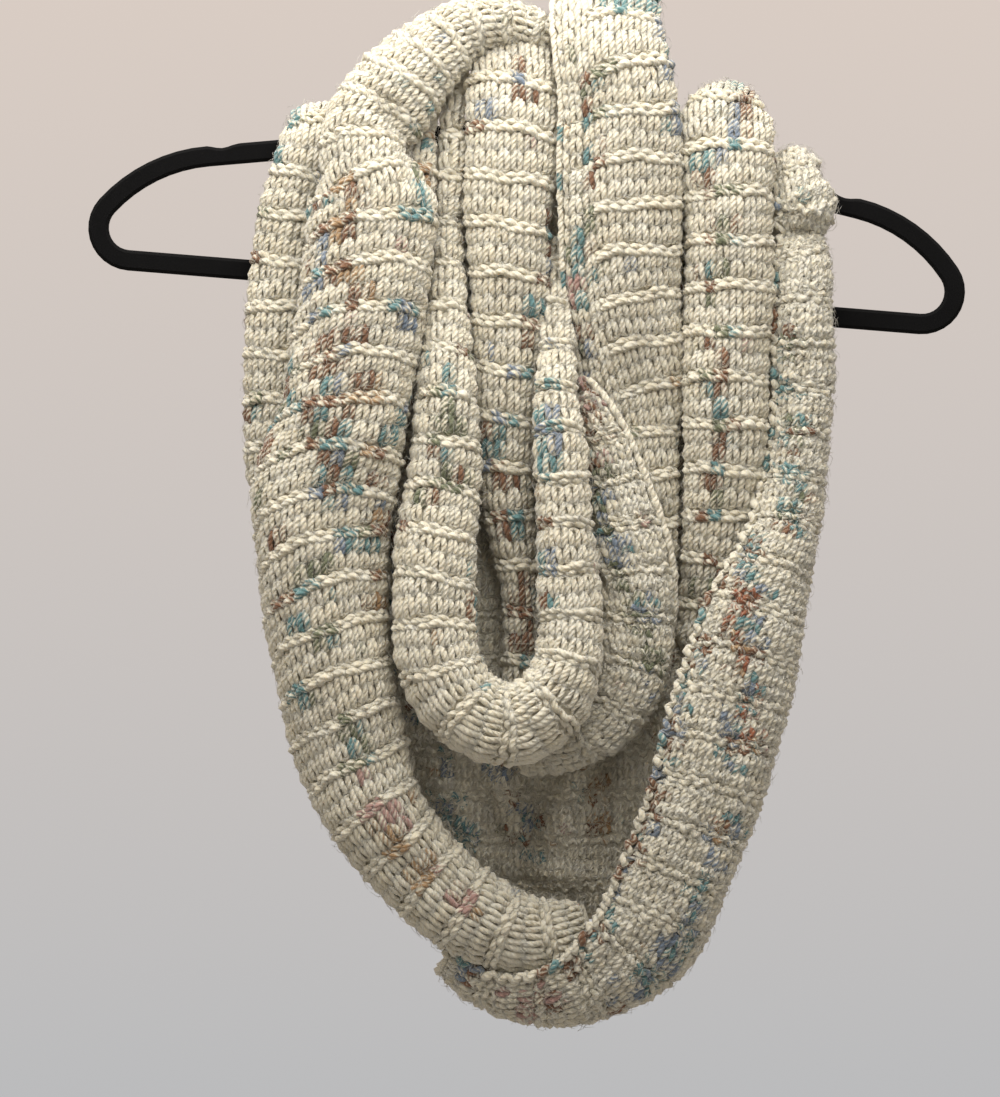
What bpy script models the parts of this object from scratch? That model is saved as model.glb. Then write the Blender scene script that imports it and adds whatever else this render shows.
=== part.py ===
"""A hand-knitted infinity scarf, wound twice, hanging from the neck of a slim flocked hanger.

The origin is where the hanger's hook bears on its rail. +X is to the right, +Z is up, and the scarf's front
faces -Y. The tables are in millimetres: "across" is +X, "drop" is down from the origin, and "fore" is
forward of the middle of the hanger.
"""

import math
from collections import namedtuple

import bpy
import numpy as np
from mathutils import Matrix, Vector

MM = 0.001

# ---------------------------------------------------------------- driving sizes, in millimetres and degrees
CLOTH_THICK = 4.0          # the knitted wall, with its raised ridges pressed flat
SEAM_GAP = 0.3             # between two stretches that meet end to end
CUT_GAP = 0.9              # between the solids of one stretch, on the middle of the cloth

HANGER_TILT = 4.6          # the hanger hangs lower on its right
HANGER_HALF_SPAN = 226.0
HANGER_ARM_DROP = 76.6     # from the hook's bearing to the top of the arms where they meet
HANGER_CENTRE = 8.7        # to the right of the hook's bearing, before the tilt
ARM_SLOPE = 9.5
ARM_BEND_RADIUS = 85.0     # the long curve of a shoulder
ARM_BEND_END = 52.0        # the slope at which the long curve gives way to the tight end
ARM_END_RADIUS = 22.0
BAR_BOTTOM = 94.7          # the lower edge of the bar, under the meeting of the arms
FRAME_DEEP = 10.5          # the frame's width, seen from the front
FRAME_THICK = 5.0
FRAME_ROUND = 1.6          # the rounding of its corners
NOTCH_AT = 160.0
NOTCH_HALF = 9.0
NOTCH_DEEP = 1.7
WIRE_THICK = 3.6
HOOK_RADIUS = 17.0         # to the middle of the wire
COLLAR_RADIUS = 4.6
COLLAR_TALL = 6.0
COLLAR_LIFT = 1.1          # its foot, above the meeting of the arms on the hanger's middle line

# ---------------------------------------------------------------- the stretches of the scarf
# A row is one section of a folded stretch of the strip, taken across it. Its middle is at (across, drop,
# fore); the cloth runs round an oval, half_wide by half_deep to its outside, from from_deg on the left of its
# face, through 0 at the front, to to_deg on the right.
Row = namedtuple("Row", "across drop fore half_wide half_deep from_deg to_deg")

OUTER_LEFT = [
    (8.0, 35.5, 12.0, 8.5, 7.0, -165, 165),
    (-11.0, 29.0, 16.0, 11.0, 10.0, -165, 165),
    (-35.0, 31.5, 19.0, 14.0, 13.0, -165, 165),
    (-55.5, 46.0, 23.0, 18.0, 16.0, -150, 150),
    (-72.0, 67.0, 29.0, 22.0, 18.0, -120, 105),
    (-84.0, 90.0, 34.0, 24.0, 19.0, -95, 95),
    (-85.0, 104.0, 37.0, 24.5, 20.0, -90, 95),
    (-81.5, 122.0, 40.0, 31.5, 22.0, -90, 95),
    (-83.0, 145.0, 42.0, 32.0, 23.0, -90, 120),
    (-90.0, 196.0, 45.0, 32.0, 25.0, -92, 160),
    (-96.0, 232.0, 46.0, 33.0, 26.0, -95, 165),
    (-105.0, 268.0, 45.0, 35.0, 26.0, -105, 165),
    (-106.5, 304.0, 44.0, 33.0, 26.0, -140, 165),
    (-103.0, 345.0, 43.0, 30.5, 25.0, -165, 165),
    (-96.0, 386.0, 42.0, 28.5, 23.0, -165, 165),
    (-79.5, 431.0, 40.0, 25.5, 22.0, -165, 165),
    (-58.0, 460.5, 37.0, 23.5, 20.0, -165, 165),
    (-32.0, 483.0, 35.0, 22.5, 18.0, -165, 165),
    (-6.5, 493.5, 32.0, 21.0, 15.0, -165, 165),
    (15.0, 492.5, 28.0, 17.5, 11.0, -160, 160),
    (28.0, 489.0, 26.0, 13.0, 8.5, -160, 160),
]
LEFT_SHOULDER = [
    (-106.0, 79.0, 0.3, 20.5, 12.0, -75, 75),
    (-107.0, 86.0, 12.0, 22.0, 13.0, -85, 80),
    (-112.0, 119.0, 16.0, 25.5, 12.0, -130, 75),
    (-118.5, 152.0, 16.5, 25.5, 11.0, -140, 70),
    (-122.5, 196.0, 18.0, 25.5, 12.0, -145, 70),
    (-124.5, 232.0, 18.0, 23.5, 12.0, -145, 70),
    (-124.0, 268.0, 16.0, 19.0, 10.0, -145, 75),
    (-119.0, 292.0, 14.0, 13.0, 7.0, -140, 80),
]
LEFT_TUCK = [
    (-54.5, 81.0, 13.0, 7.5, 6.5, -90, 110),
    (-57.0, 92.0, 17.0, 9.0, 8.5, -90, 110),
    (-59.0, 105.0, 21.0, 10.0, 9.5, -90, 110),
    (-60.5, 119.0, 22.0, 10.5, 9.0, -90, 110),
    (-64.0, 134.0, 20.0, 8.5, 6.5, -90, 110),
]
INNER_LOOP = [
    (-38.5, 62.0, 9.0, 5.0, 6.0, -110, 110),
    (-41.0, 85.0, 14.0, 5.5, 8.0, -120, 120),
    (-41.5, 105.0, 17.0, 6.0, 9.5, -120, 120),
    (-43.0, 129.0, 20.0, 7.5, 10.5, -120, 120),
    (-43.5, 170.0, 29.0, 10.0, 12.5, -130, 130),
    (-44.5, 221.5, 43.0, 15.5, 16.0, -150, 150),
    (-46.0, 273.0, 50.0, 19.0, 18.0, -150, 150),
    (-49.0, 304.0, 54.0, 21.0, 19.0, -150, 150),
    (-50.5, 334.5, 58.0, 21.0, 19.0, -150, 150),
    (-46.0, 360.0, 60.0, 21.0, 19.0, -150, 150),
    (-34.0, 378.0, 62.0, 20.5, 19.0, -150, 150),
    (-13.5, 386.0, 63.0, 20.5, 19.0, -150, 150),
    (8.0, 374.0, 62.0, 19.5, 18.0, -150, 150),
    (19.0, 348.0, 59.0, 16.5, 16.5, -150, 150),
    (17.5, 319.0, 57.0, 15.5, 16.0, -150, 150),
    (15.0, 283.0, 55.0, 14.0, 14.0, -150, 150),
    (13.0, 247.0, 53.0, 13.0, 12.0, -145, 150),
    (12.0, 221.5, 50.0, 11.0, 10.0, -130, 145),
    (12.0, 190.0, 44.0, 8.0, 7.5, -110, 130),
    (11.5, 163.0, 39.0, 6.0, 5.5, -90, 110),
]
CENTRE_FOLD = [
    (-12.5, 52.5, 6.0, 17.0, 9.0, -75, 75),
    (-12.5, 53.5, 15.0, 20.0, 11.0, -80, 80),
    (-12.5, 72.0, 21.0, 22.5, 14.0, -90, 90),
    (-12.0, 95.0, 24.0, 23.0, 16.0, -95, 95),
    (-12.0, 129.0, 25.0, 22.5, 17.0, -100, 100),
    (-12.5, 170.0, 25.0, 20.5, 16.5, -110, 110),
    (-13.5, 221.5, 25.0, 17.0, 15.0, -130, 130),
    (-13.5, 273.0, 23.0, 13.5, 13.0, -130, 130),
    (-7.0, 324.0, 23.0, 9.5, 10.0, -130, 130),
    (-6.0, 372.0, 22.0, 8.0, 8.5, -130, 130),
]
RIGHT_INNER_FOLD = [
    (51.0, 84.0, -16.0, 16.0, 8.0, -75, 75),
    (50.0, 50.0, -17.0, 18.0, 10.0, -75, 75),
    (47.0, 25.0, -10.0, 20.0, 12.0, -80, 80),
    (42.0, 20.0, 10.0, 25.0, 13.0, -85, 85),
    (39.5, 40.0, 26.0, 28.5, 15.0, -85, 105),
    (42.5, 72.5, 29.0, 31.0, 17.0, -80, 110),
    (43.5, 118.5, 29.0, 31.5, 18.0, -78, 110),
    (45.0, 170.0, 26.0, 30.5, 17.0, -76, 110),
    (50.0, 221.5, 20.5, 26.0, 13.5, -76, 110),
    (53.0, 273.0, 18.0, 21.5, 12.5, -76, 110),
    (54.5, 304.0, 16.5, 18.5, 11.5, -76, 110),
    (54.0, 345.0, 14.5, 14.0, 10.0, -76, 110),
]
SECOND_LOOP = [
    (23.5, 211.0, 34.0, 4.0, 5.0, -65, 70),
    (29.5, 225.0, 34.5, 8.5, 7.5, -70, 72),
    (40.0, 257.5, 36.5, 16.0, 10.5, -75, 72),
    (49.0, 293.5, 38.0, 20.0, 12.5, -80, 75),
    (52.0, 329.5, 38.0, 19.5, 13.0, -90, 105),
    (47.5, 361.0, 37.0, 19.5, 13.0, -100, 140),
    (34.0, 386.0, 34.0, 17.5, 12.0, -110, 150),
    (13.0, 398.5, 30.0, 15.0, 11.0, -120, 150),
    (-8.0, 401.0, 27.0, 12.0, 9.0, -120, 150),
]
RIGHT_FRONT_FOLD = [
    (98.5, 122.0, -15.0, 18.0, 7.0, -75, 75),
    (98.5, 98.0, -17.0, 20.0, 9.0, -75, 75),
    (98.5, 76.0, -11.0, 22.5, 12.0, -80, 80),
    (98.5, 71.0, 8.0, 24.5, 13.0, -85, 85),
    (98.5, 88.0, 20.0, 25.0, 15.0, -100, 100),
    (99.0, 118.5, 24.0, 23.0, 17.0, -130, 110),
    (99.0, 170.0, 25.0, 22.5, 18.0, -130, 110),
    (98.0, 221.5, 25.0, 22.0, 18.0, -130, 110),
    (96.0, 273.0, 23.0, 20.0, 15.0, -120, 100),
    (93.5, 304.0, 20.0, 18.0, 13.0, -110, 95),
    (88.5, 345.0, 16.0, 15.5, 10.0, -100, 90),
]
OUTER_RIGHT = [
    (135.0, 103.0, 0.3, 13.5, 11.0, -75, 75),
    (135.0, 105.0, 9.0, 14.0, 11.0, -80, 80),
    (138.0, 121.0, 16.0, 15.5, 12.5, -80, 110),
    (135.5, 137.0, 17.0, 12.5, 10.5, -80, 130),
    (137.5, 152.0, 19.0, 15.0, 13.0, -80, 150),
    (138.0, 170.0, 20.0, 15.5, 14.0, -80, 150),
    (136.5, 221.5, 21.0, 15.5, 15.0, -80, 160),
    (132.5, 262.5, 25.0, 16.0, 17.0, -80, 165),
    (124.0, 301.0, 32.0, 19.5, 20.0, -82, 165),
    (111.0, 334.5, 36.0, 26.5, 22.0, -82, 165),
    (98.5, 375.5, 38.0, 29.5, 23.0, -82, 165),
    (86.0, 422.0, 38.0, 29.0, 23.0, -80, 175),
    (70.5, 461.5, 36.0, 29.0, 22.0, -75, 190),
    (49.0, 497.0, 31.0, 30.0, 22.0, -48, 195),
    (19.0, 512.0, 25.0, 29.0, 20.0, 0, 205),
    (-14.0, 510.0, 22.0, 26.0, 18.0, 33, 208),
    (-38.0, 496.0, 20.0, 23.0, 16.0, 45, 205),
]
NECK_PASS = [
    (-106.0, 79.0, -0.3, 20.5, 12.0, -75, 75),
    (-105.0, 84.0, -11.0, 21.0, 12.0, -78, 78),
    (-100.0, 98.0, -22.0, 22.0, 11.0, -80, 80),
    (-84.0, 105.0, -28.0, 22.0, 11.0, -85, 85),
    (-50.0, 97.0, -31.0, 22.0, 11.0, -95, 95),
    (0.0, 88.0, -33.0, 22.0, 11.0, -95, 95),
    (50.0, 96.0, -38.0, 22.0, 10.0, -82, 82),
    (92.0, 113.0, -36.0, 21.0, 10.0, -80, 80),
    (118.0, 122.0, -28.0, 18.0, 10.0, -80, 80),
    (132.0, 115.0, -18.0, 15.0, 11.0, -78, 78),
    (135.0, 105.0, -9.0, 14.0, 11.0, -78, 78),
    (135.0, 103.0, -0.3, 13.5, 11.0, -75, 75),
]

# The far side of the big loop: a wide stretch seen through it. A row is a level, from its left to its right
# edge, lying "fore" of the hanger, with soft folds "fold" deep.
Level = namedtuple("Level", "drop left right fore fold")
BACK_WALL = [
    (112.0, -112.0, 124.0, 6.5, 0.5),
    (180.0, -126.0, 130.0, 6.5, 1.0),
    (240.0, -122.0, 124.0, 6.5, 1.5),
    (310.0, -112.0, 112.0, 7.0, 2.5),
    (380.0, -94.0, 92.0, 8.0, 4.0),
    (430.0, -72.0, 74.0, 7.0, 3.5),
    (464.0, -44.0, 56.0, 5.0, 2.5),
    (488.0, -14.0, 36.0, 3.5, 1.0),
]
BACK_FOLD_SPACING = 62.0
BACK_FOLD_AT = -35.0       # where the first full fold stands proud

# name: (table, stations along, points across)
STRETCHES = {
    "outer_left": (OUTER_LEFT, 33, 12),
    "left_shoulder": (LEFT_SHOULDER, 12, 8),
    "left_tuck": (LEFT_TUCK, 6, 7),
    "inner_loop": (INNER_LOOP, 30, 11),
    "centre_fold": (CENTRE_FOLD, 15, 9),
    "right_inner_fold": (RIGHT_INNER_FOLD, 18, 10),
    "second_loop": (SECOND_LOOP, 12, 8),
    "right_front_fold": (RIGHT_FRONT_FOLD, 17, 9),
    "outer_right": (OUTER_RIGHT, 28, 12),
}

# The outer left stretch turns so far that it is in solids cut at these of its stations: its roll over the top,
# its straight length, its turn inwards and its foot.
CUTS = {"outer_left": {"outer_left_top": (0, 9), "outer_left": (9, 20), "outer_left_bend": (20, 27), "outer_left_foot": (27, 32)}}

CREAM = (0.80, 0.76, 0.66, 1.0)
FLOCK_BLACK = (0.012, 0.012, 0.013, 1.0)
STEEL_GREY = (0.62, 0.62, 0.64, 1.0)


# ---------------------------------------------------------------- materials
def material(name, colour, roughness, metallic):
    made = bpy.data.materials.new(name)
    made.use_nodes = True
    shader = made.node_tree.nodes["Principled BSDF"]
    shader.inputs["Base Color"].default_value = colour
    shader.inputs["Roughness"].default_value = roughness
    shader.inputs["Metallic"].default_value = metallic
    return made


# ---------------------------------------------------------------- curves and sections
def smooth_rows(rows, count):
    """The table's rows, read at count even steps along a smooth curve through them."""
    rows = np.array(rows, float)
    steps = np.linalg.norm(np.diff(rows[:, :3], axis=0), axis=1)
    along = np.concatenate([[0.0], np.cumsum(steps)])
    slopes = np.gradient(rows, along, axis=0)
    at = np.linspace(0.0, along[-1], count)
    k = np.clip(np.searchsorted(along, at, side="right") - 1, 0, len(rows) - 2)
    span = (along[k + 1] - along[k])[:, None]
    t = (at - along[k])[:, None] / span
    return (
        (2 * t**3 - 3 * t**2 + 1) * rows[k]
        + (t**3 - 2 * t**2 + t) * span * slopes[k]
        + (3 * t**2 - 2 * t**3) * rows[k + 1]
        + (t**3 - t**2) * span * slopes[k + 1]
    )


def world(across, drop, fore):
    return np.stack([across, -np.asarray(fore), -np.asarray(drop)], axis=-1) * MM


def unit(rows):
    return rows / np.linalg.norm(rows, axis=-1, keepdims=True)


def front_frames(middles):
    """The way out of the face and the way across at each middle, facing the front, with no twist between them."""
    ways = unit(np.gradient(middles, axis=0))
    start = int(np.argmin(np.abs(ways[:, 1])))
    outs = np.zeros_like(ways)
    for order in (range(start, len(ways)), range(start, -1, -1)):
        out = np.array([0.0, -1.0, 0.0])
        for i in order:
            out = unit(out - (out @ ways[i]) * ways[i])
            outs[i] = out
    return outs, np.cross(outs, ways)


def neck_frames(middles):
    """The same for the pass behind the neck, which faces up where it crosses the arms, and back behind them."""
    ways = unit(np.gradient(middles, axis=0))
    behind = middles[:, 1] / MM
    away = np.stack([0 * behind, behind, np.clip(12.0 - behind, 0.0, None)], axis=-1)
    outs = unit(away - np.sum(away * ways, axis=1, keepdims=True) * ways)
    return outs, np.cross(outs, ways)


def stretch_points(rows, stations, points, frames=front_frames):
    """The middle of the cloth, as a grid of stations by points."""
    row = Row(*smooth_rows(rows, stations).T)
    middles = world(row.across, row.drop, row.fore)
    outs, sides = frames(middles)
    turn = np.linspace(0.0, 1.0, points)[None, :]
    angle = np.radians(row.from_deg[:, None] + (row.to_deg - row.from_deg)[:, None] * turn)
    inside = CLOTH_THICK / 2
    wide = ((row.half_wide - inside)[:, None] * np.sin(angle))[..., None] * MM
    deep = ((row.half_deep - inside)[:, None] * np.cos(angle))[..., None] * MM
    return middles[:, None] + wide * sides[:, None] + deep * outs[:, None]


def back_wall_points(rows, stations, points):
    table = Level(*np.array(rows, float).T)
    drop = np.linspace(table.drop[0], table.drop[-1], stations)[:, None]
    level = Level(drop, *(np.interp(drop, table.drop, column) for column in table[1:]))
    share = np.linspace(0.0, 1.0, points)[None, :]
    across = level.left + (level.right - level.left) * share
    wave = np.cos(2 * math.pi * (across - BACK_FOLD_AT) / BACK_FOLD_SPACING)
    return world(across, np.broadcast_to(drop, across.shape), level.fore + level.fold * wave)


# ---------------------------------------------------------------- the cloth
def cloth(name, grid, finish):
    """A knitted wall of even thickness about a grid of points."""
    stations, points = grid.shape[:2]
    corner = np.arange(stations * points).reshape(stations, points)
    faces = np.stack([corner[:-1, :-1], corner[1:, :-1], corner[1:, 1:], corner[:-1, 1:]], axis=-1)
    mesh = bpy.data.meshes.new(name)
    mesh.from_pydata(grid.reshape(-1, 3).tolist(), [], faces.reshape(-1, 4).tolist())
    mesh.shade_smooth()
    mesh.materials.append(finish)
    made = bpy.data.objects.new(name, mesh)
    bpy.context.scene.collection.objects.link(made)
    wall = made.modifiers.new("knitted wall", "SOLIDIFY")
    wall.thickness = CLOTH_THICK * MM
    wall.offset = 0.0
    wall.use_even_offset = False
    return made


def lengths(name, grid):
    """The stretch's solids by name, drawn back from one another where it is cut."""
    last = len(grid) - 1
    for part, (first, end) in CUTS.get(name, {name: (0, last)}).items():
        length = grid[first:end + 1].copy()
        if first > 0:
            length[0] += unit(length[1] - length[0]) * CUT_GAP / 2 * MM
        if end < last:
            length[-1] += unit(length[-2] - length[-1]) * CUT_GAP / 2 * MM
        yield part, length


def scarf(finish):
    for name, (rows, stations, points) in STRETCHES.items():
        for part, grid in lengths(name, stretch_points(rows, stations, points)):
            cloth(part, grid, finish)
    cloth("neck_pass", stretch_points(NECK_PASS, 20, 8, neck_frames), finish)
    cloth("back_wall", back_wall_points(BACK_WALL, 11, 21), finish)


# ---------------------------------------------------------------- the hanger
def arc(centre, radius, start, end, count):
    """Points on an arc, by the slope of its path in degrees, turning clockwise as it falls to the right."""
    slopes = np.radians(np.linspace(start, end, count))
    return [(centre[0] + radius * math.sin(s), centre[1] - radius * math.cos(s)) for s in slopes]


def frame_path():
    """The middle of the frame's right half, from over the centre to under it, as (across, down)."""
    half = FRAME_DEEP / 2
    slope, bend_end = math.radians(ARM_SLOPE), math.radians(ARM_BEND_END)
    end_centre_across = HANGER_HALF_SPAN - ARM_END_RADIUS
    end_centre_down = BAR_BOTTOM - ARM_END_RADIUS
    lead = ARM_BEND_RADIUS - ARM_END_RADIUS
    bend_centre = (end_centre_across - lead * math.sin(bend_end), end_centre_down + lead * math.cos(bend_end))
    bend = arc(bend_centre, ARM_BEND_RADIUS - half, ARM_SLOPE, ARM_BEND_END, 9)
    end = arc((end_centre_across, end_centre_down), ARM_END_RADIUS - half, ARM_BEND_END, 180.0, 12)
    apex_down = bend[0][1] - bend[0][0] * math.tan(slope)
    notch = [NOTCH_AT + NOTCH_HALF * share for share in (-1.0, -0.6, -0.3, 0.0, 0.3, 0.6, 1.0)]
    along_arm = [x for x in [0.0, NOTCH_AT / 4, NOTCH_AT / 2] + notch if x < bend[0][0]]
    arm = [(x, apex_down + x * math.tan(slope)) for x in along_arm]
    bar = [(NOTCH_AT * share, BAR_BOTTOM - half) for share in (0.9, 0.6, 0.3)]
    return arm + bend + end[1:] + bar


def frame_section(across, on_arm):
    """The outline across the frame as (outwards, fore), with the notch taken out of its outer edge."""
    half, thick, round_off = FRAME_DEEP / 2, FRAME_THICK / 2, FRAME_ROUND
    notch = 0.0
    if on_arm and abs(across - NOTCH_AT) < NOTCH_HALF:
        notch = NOTCH_DEEP * (0.5 + 0.5 * math.cos(math.pi * (across - NOTCH_AT) / NOTCH_HALF))
    top = half - notch
    return [
        (top, thick - round_off), (top, -thick + round_off), (top - round_off, -thick),
        (-half + round_off, -thick), (-half, -thick + round_off), (-half, thick - round_off),
        (-half + round_off, thick), (top - round_off, thick),
    ]


def hanger_frame(finish):
    right = frame_path()
    left = [(-x, down) for x, down in reversed(right[1:])]
    ring = [Vector((x, 0.0, -down)) for x, down in right + left]
    count, arm_count = len(ring), len(right)
    outline = []
    for i, middle in enumerate(ring):
        way = (ring[(i + 1) % count] - ring[i - 1]).normalized()
        outwards = Vector((-way.z, 0.0, way.x))
        on_arm = middle.z > -BAR_BOTTOM / 2
        for out, fore in frame_section(abs(middle.x), on_arm):
            outline.append((middle + outwards * out + Vector((0.0, -fore, 0.0))) * MM)
    around = len(outline) // count
    faces = []
    for i in range(count):
        for j in range(around):
            a, b = i * around + j, i * around + (j + 1) % around
            c, d = ((i + 1) % count) * around + (j + 1) % around, ((i + 1) % count) * around + j
            faces.append((d, c, b, a))
    mesh = bpy.data.meshes.new("hanger_frame")
    mesh.from_pydata([p[:] for p in outline], [], faces)
    mesh.shade_smooth()
    mesh.materials.append(finish)
    made = bpy.data.objects.new("hanger_frame", mesh)
    bpy.context.scene.collection.objects.link(made)
    return made


def hook_points():
    """The hook's route in the hanger's own upright frame: up the stem, over to the right and round to the left."""
    stem_foot = HANGER_ARM_DROP - COLLAR_LIFT - COLLAR_TALL - SEAM_GAP
    centre_down = HOOK_RADIUS - WIRE_THICK / 2
    route = [(HANGER_CENTRE, stem_foot), (HANGER_CENTRE, stem_foot - 10.0), (HANGER_CENTRE + 1.4, 49.0),
             (HANGER_CENTRE + 4.6, 38.0), (HANGER_CENTRE + 7.3, 27.0)]
    turn = [math.radians(a) for a in range(0, -196, -15)]
    route += [(HOOK_RADIUS * math.cos(a), centre_down + HOOK_RADIUS * math.sin(a)) for a in turn]
    return route


def hanger_hook(finish):
    curve = bpy.data.curves.new("hanger_hook", "CURVE")
    curve.dimensions = "3D"
    curve.bevel_depth = WIRE_THICK / 2 * MM
    curve.bevel_resolution = 2
    curve.use_fill_caps = True
    route = hook_points()
    spline = curve.splines.new("POLY")
    spline.points.add(len(route) - 1)
    for point, (across, down) in zip(spline.points, route):
        point.co = (across * MM, 0.0, -down * MM, 1.0)
    curve.materials.append(finish)
    made = bpy.data.objects.new("hanger_hook", curve)
    bpy.context.scene.collection.objects.link(made)
    return made


def hook_collar(finish):
    bpy.ops.mesh.primitive_cylinder_add(
        vertices=20,
        radius=COLLAR_RADIUS * MM,
        depth=COLLAR_TALL * MM,
        location=(HANGER_CENTRE * MM, 0.0, -(HANGER_ARM_DROP - COLLAR_LIFT - COLLAR_TALL / 2) * MM),
    )
    made = bpy.context.object
    made.name = made.data.name = "hook_collar"
    made.data.materials.append(finish)
    rounded = made.modifiers.new("rounded rims", "BEVEL")
    rounded.width = 0.8 * MM
    rounded.segments = 2
    rounded.limit_method = "ANGLE"
    made.data.shade_smooth()
    made.data.set_sharp_from_angle(angle=math.radians(40))
    return made


def hanger(flock, steel):
    tilt = Matrix.Rotation(math.radians(HANGER_TILT), 4, "Y")
    frame = hanger_frame(flock)
    frame.matrix_world = tilt @ Matrix.Translation((HANGER_CENTRE * MM, 0.0, -HANGER_ARM_DROP * MM))
    hook = hanger_hook(steel)
    hook.matrix_world = tilt
    collar = hook_collar(flock)
    collar.matrix_world = tilt @ collar.matrix_world


# ---------------------------------------------------------------- build
def main():
    for old in list(bpy.data.objects):
        bpy.data.objects.remove(old, do_unlink=True)
    knit = material("cream speckled knit", CREAM, 0.95, 0.0)
    flock = material("black flock", FLOCK_BLACK, 0.9, 0.0)
    steel = material("bright steel wire", STEEL_GREY, 0.3, 1.0)
    hanger(flock, steel)
    scarf(knit)
    bpy.context.view_layer.update()


main()
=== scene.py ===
"""The looks of a hand-knitted infinity scarf, wound twice, hanging from the neck of a slim flocked hanger.

The origin is where the hanger's hook bears on its rail. The tables are in millimetres: "across" is +X,
"drop" is down from the origin, and "fore" is forward of the middle of the hanger, towards -Y. Each stretch
of the scarf is a thin cloth on its solid's form, with its rows of yarn worked on the outside of it.
"""

import math
from collections import namedtuple

import bpy
import numpy as np
from bpy.props import FloatProperty, FloatVectorProperty, IntProperty, PointerProperty
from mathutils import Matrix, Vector

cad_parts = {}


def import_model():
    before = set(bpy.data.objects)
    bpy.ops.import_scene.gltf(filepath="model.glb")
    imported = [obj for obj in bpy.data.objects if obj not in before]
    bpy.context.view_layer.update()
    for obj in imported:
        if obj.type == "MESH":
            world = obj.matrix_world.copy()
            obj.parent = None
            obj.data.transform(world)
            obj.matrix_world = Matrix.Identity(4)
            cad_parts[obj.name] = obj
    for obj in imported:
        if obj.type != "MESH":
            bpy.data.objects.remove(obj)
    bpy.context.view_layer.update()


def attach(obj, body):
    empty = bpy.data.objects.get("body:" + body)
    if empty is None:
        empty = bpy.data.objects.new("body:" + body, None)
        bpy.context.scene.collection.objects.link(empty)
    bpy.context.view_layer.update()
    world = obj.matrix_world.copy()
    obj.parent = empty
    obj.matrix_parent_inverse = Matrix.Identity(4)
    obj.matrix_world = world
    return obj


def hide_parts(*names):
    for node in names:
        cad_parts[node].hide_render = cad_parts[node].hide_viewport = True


bl_info = {
    "name": "Infinity scarf",
    "version": (1, 0, 0),
    "blender": (4, 5, 0),
    "location": "3D View > Sidebar > Scarf",
    "description": "A chunky speckled infinity scarf on a flocked hanger",
    "category": "Object",
}

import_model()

MM = 0.001
SEED = 7
BODY = "root"
CLOTH_THICK = 4.0
FLOOR = -1.70
AIM = Vector((-0.017, 0.0, -0.298))
VIEW_TALL = 0.564          # of the picture, at the hanger

# ---------------------------------------------------------------- the stretches of the scarf
# A row is one section of a folded stretch of the strip, taken across it. Its middle is at (across, drop,
# fore); the cloth runs round an oval, half_wide by half_deep to its outside, from from_deg on the left of its
# face, through 0 at the front, to to_deg on the right.
Row = namedtuple("Row", "across drop fore half_wide half_deep from_deg to_deg")

OUTER_LEFT = [
    (19.0, 42.0, 7.0, 9.0, 7.0, -165, 165),
    (8.0, 36.0, 12.0, 10.0, 8.0, -165, 165),
    (-11.0, 30.0, 16.0, 12.0, 10.5, -165, 165),
    (-34.5, 33.0, 19.0, 15.5, 13.5, -165, 165),
    (-54.5, 48.0, 23.0, 20.0, 16.5, -150, 150),
    (-71.0, 68.0, 29.0, 23.5, 18.5, -120, 110),
    (-84.0, 90.0, 34.0, 24.0, 19.0, -95, 95),
    (-85.0, 104.0, 37.0, 24.5, 20.0, -90, 95),
    (-81.5, 122.0, 40.0, 31.5, 22.0, -90, 95),
    (-83.0, 145.0, 42.0, 32.0, 23.0, -90, 120),
    (-90.0, 196.0, 45.0, 32.0, 25.0, -92, 160),
    (-96.0, 232.0, 46.0, 33.0, 26.0, -95, 165),
    (-105.0, 268.0, 45.0, 35.0, 26.0, -105, 165),
    (-106.5, 304.0, 44.0, 33.0, 26.0, -140, 165),
    (-103.0, 345.0, 43.0, 30.5, 25.0, -165, 165),
    (-96.0, 386.0, 42.0, 28.5, 23.0, -165, 165),
    (-79.5, 431.0, 40.0, 25.5, 22.0, -165, 165),
    (-58.0, 460.5, 37.0, 23.5, 20.0, -165, 165),
    (-32.0, 483.0, 35.0, 22.5, 18.0, -165, 165),
    (-6.5, 493.5, 32.0, 21.0, 15.0, -165, 165),
    (15.0, 492.5, 28.0, 17.5, 11.0, -160, 160),
    (28.0, 489.0, 26.0, 13.0, 8.5, -160, 160),
]
LEFT_SHOULDER = [
    (-106.0, 79.0, 0.3, 20.5, 12.0, -75, 75),
    (-107.0, 86.0, 12.0, 22.0, 13.0, -85, 80),
    (-112.0, 119.0, 16.0, 25.5, 12.0, -130, 75),
    (-118.5, 152.0, 16.5, 25.5, 11.0, -140, 70),
    (-122.5, 196.0, 18.0, 25.5, 12.0, -145, 70),
    (-124.5, 232.0, 18.0, 23.5, 12.0, -145, 70),
    (-124.0, 268.0, 16.0, 19.0, 10.0, -145, 75),
    (-119.0, 292.0, 14.0, 13.0, 7.0, -140, 80),
]
LEFT_TUCK = [
    (-51.0, 60.0, 8.0, 8.0, 6.0, -90, 110),
    (-52.5, 70.0, 11.0, 8.5, 6.5, -90, 110),
    (-54.5, 81.0, 13.0, 7.5, 6.5, -90, 110),
    (-57.0, 92.0, 17.0, 9.0, 8.5, -90, 110),
    (-59.0, 105.0, 21.0, 10.0, 9.5, -90, 110),
    (-60.5, 119.0, 22.0, 10.5, 9.0, -90, 110),
    (-64.0, 134.0, 20.0, 8.5, 6.5, -90, 110),
]
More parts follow.
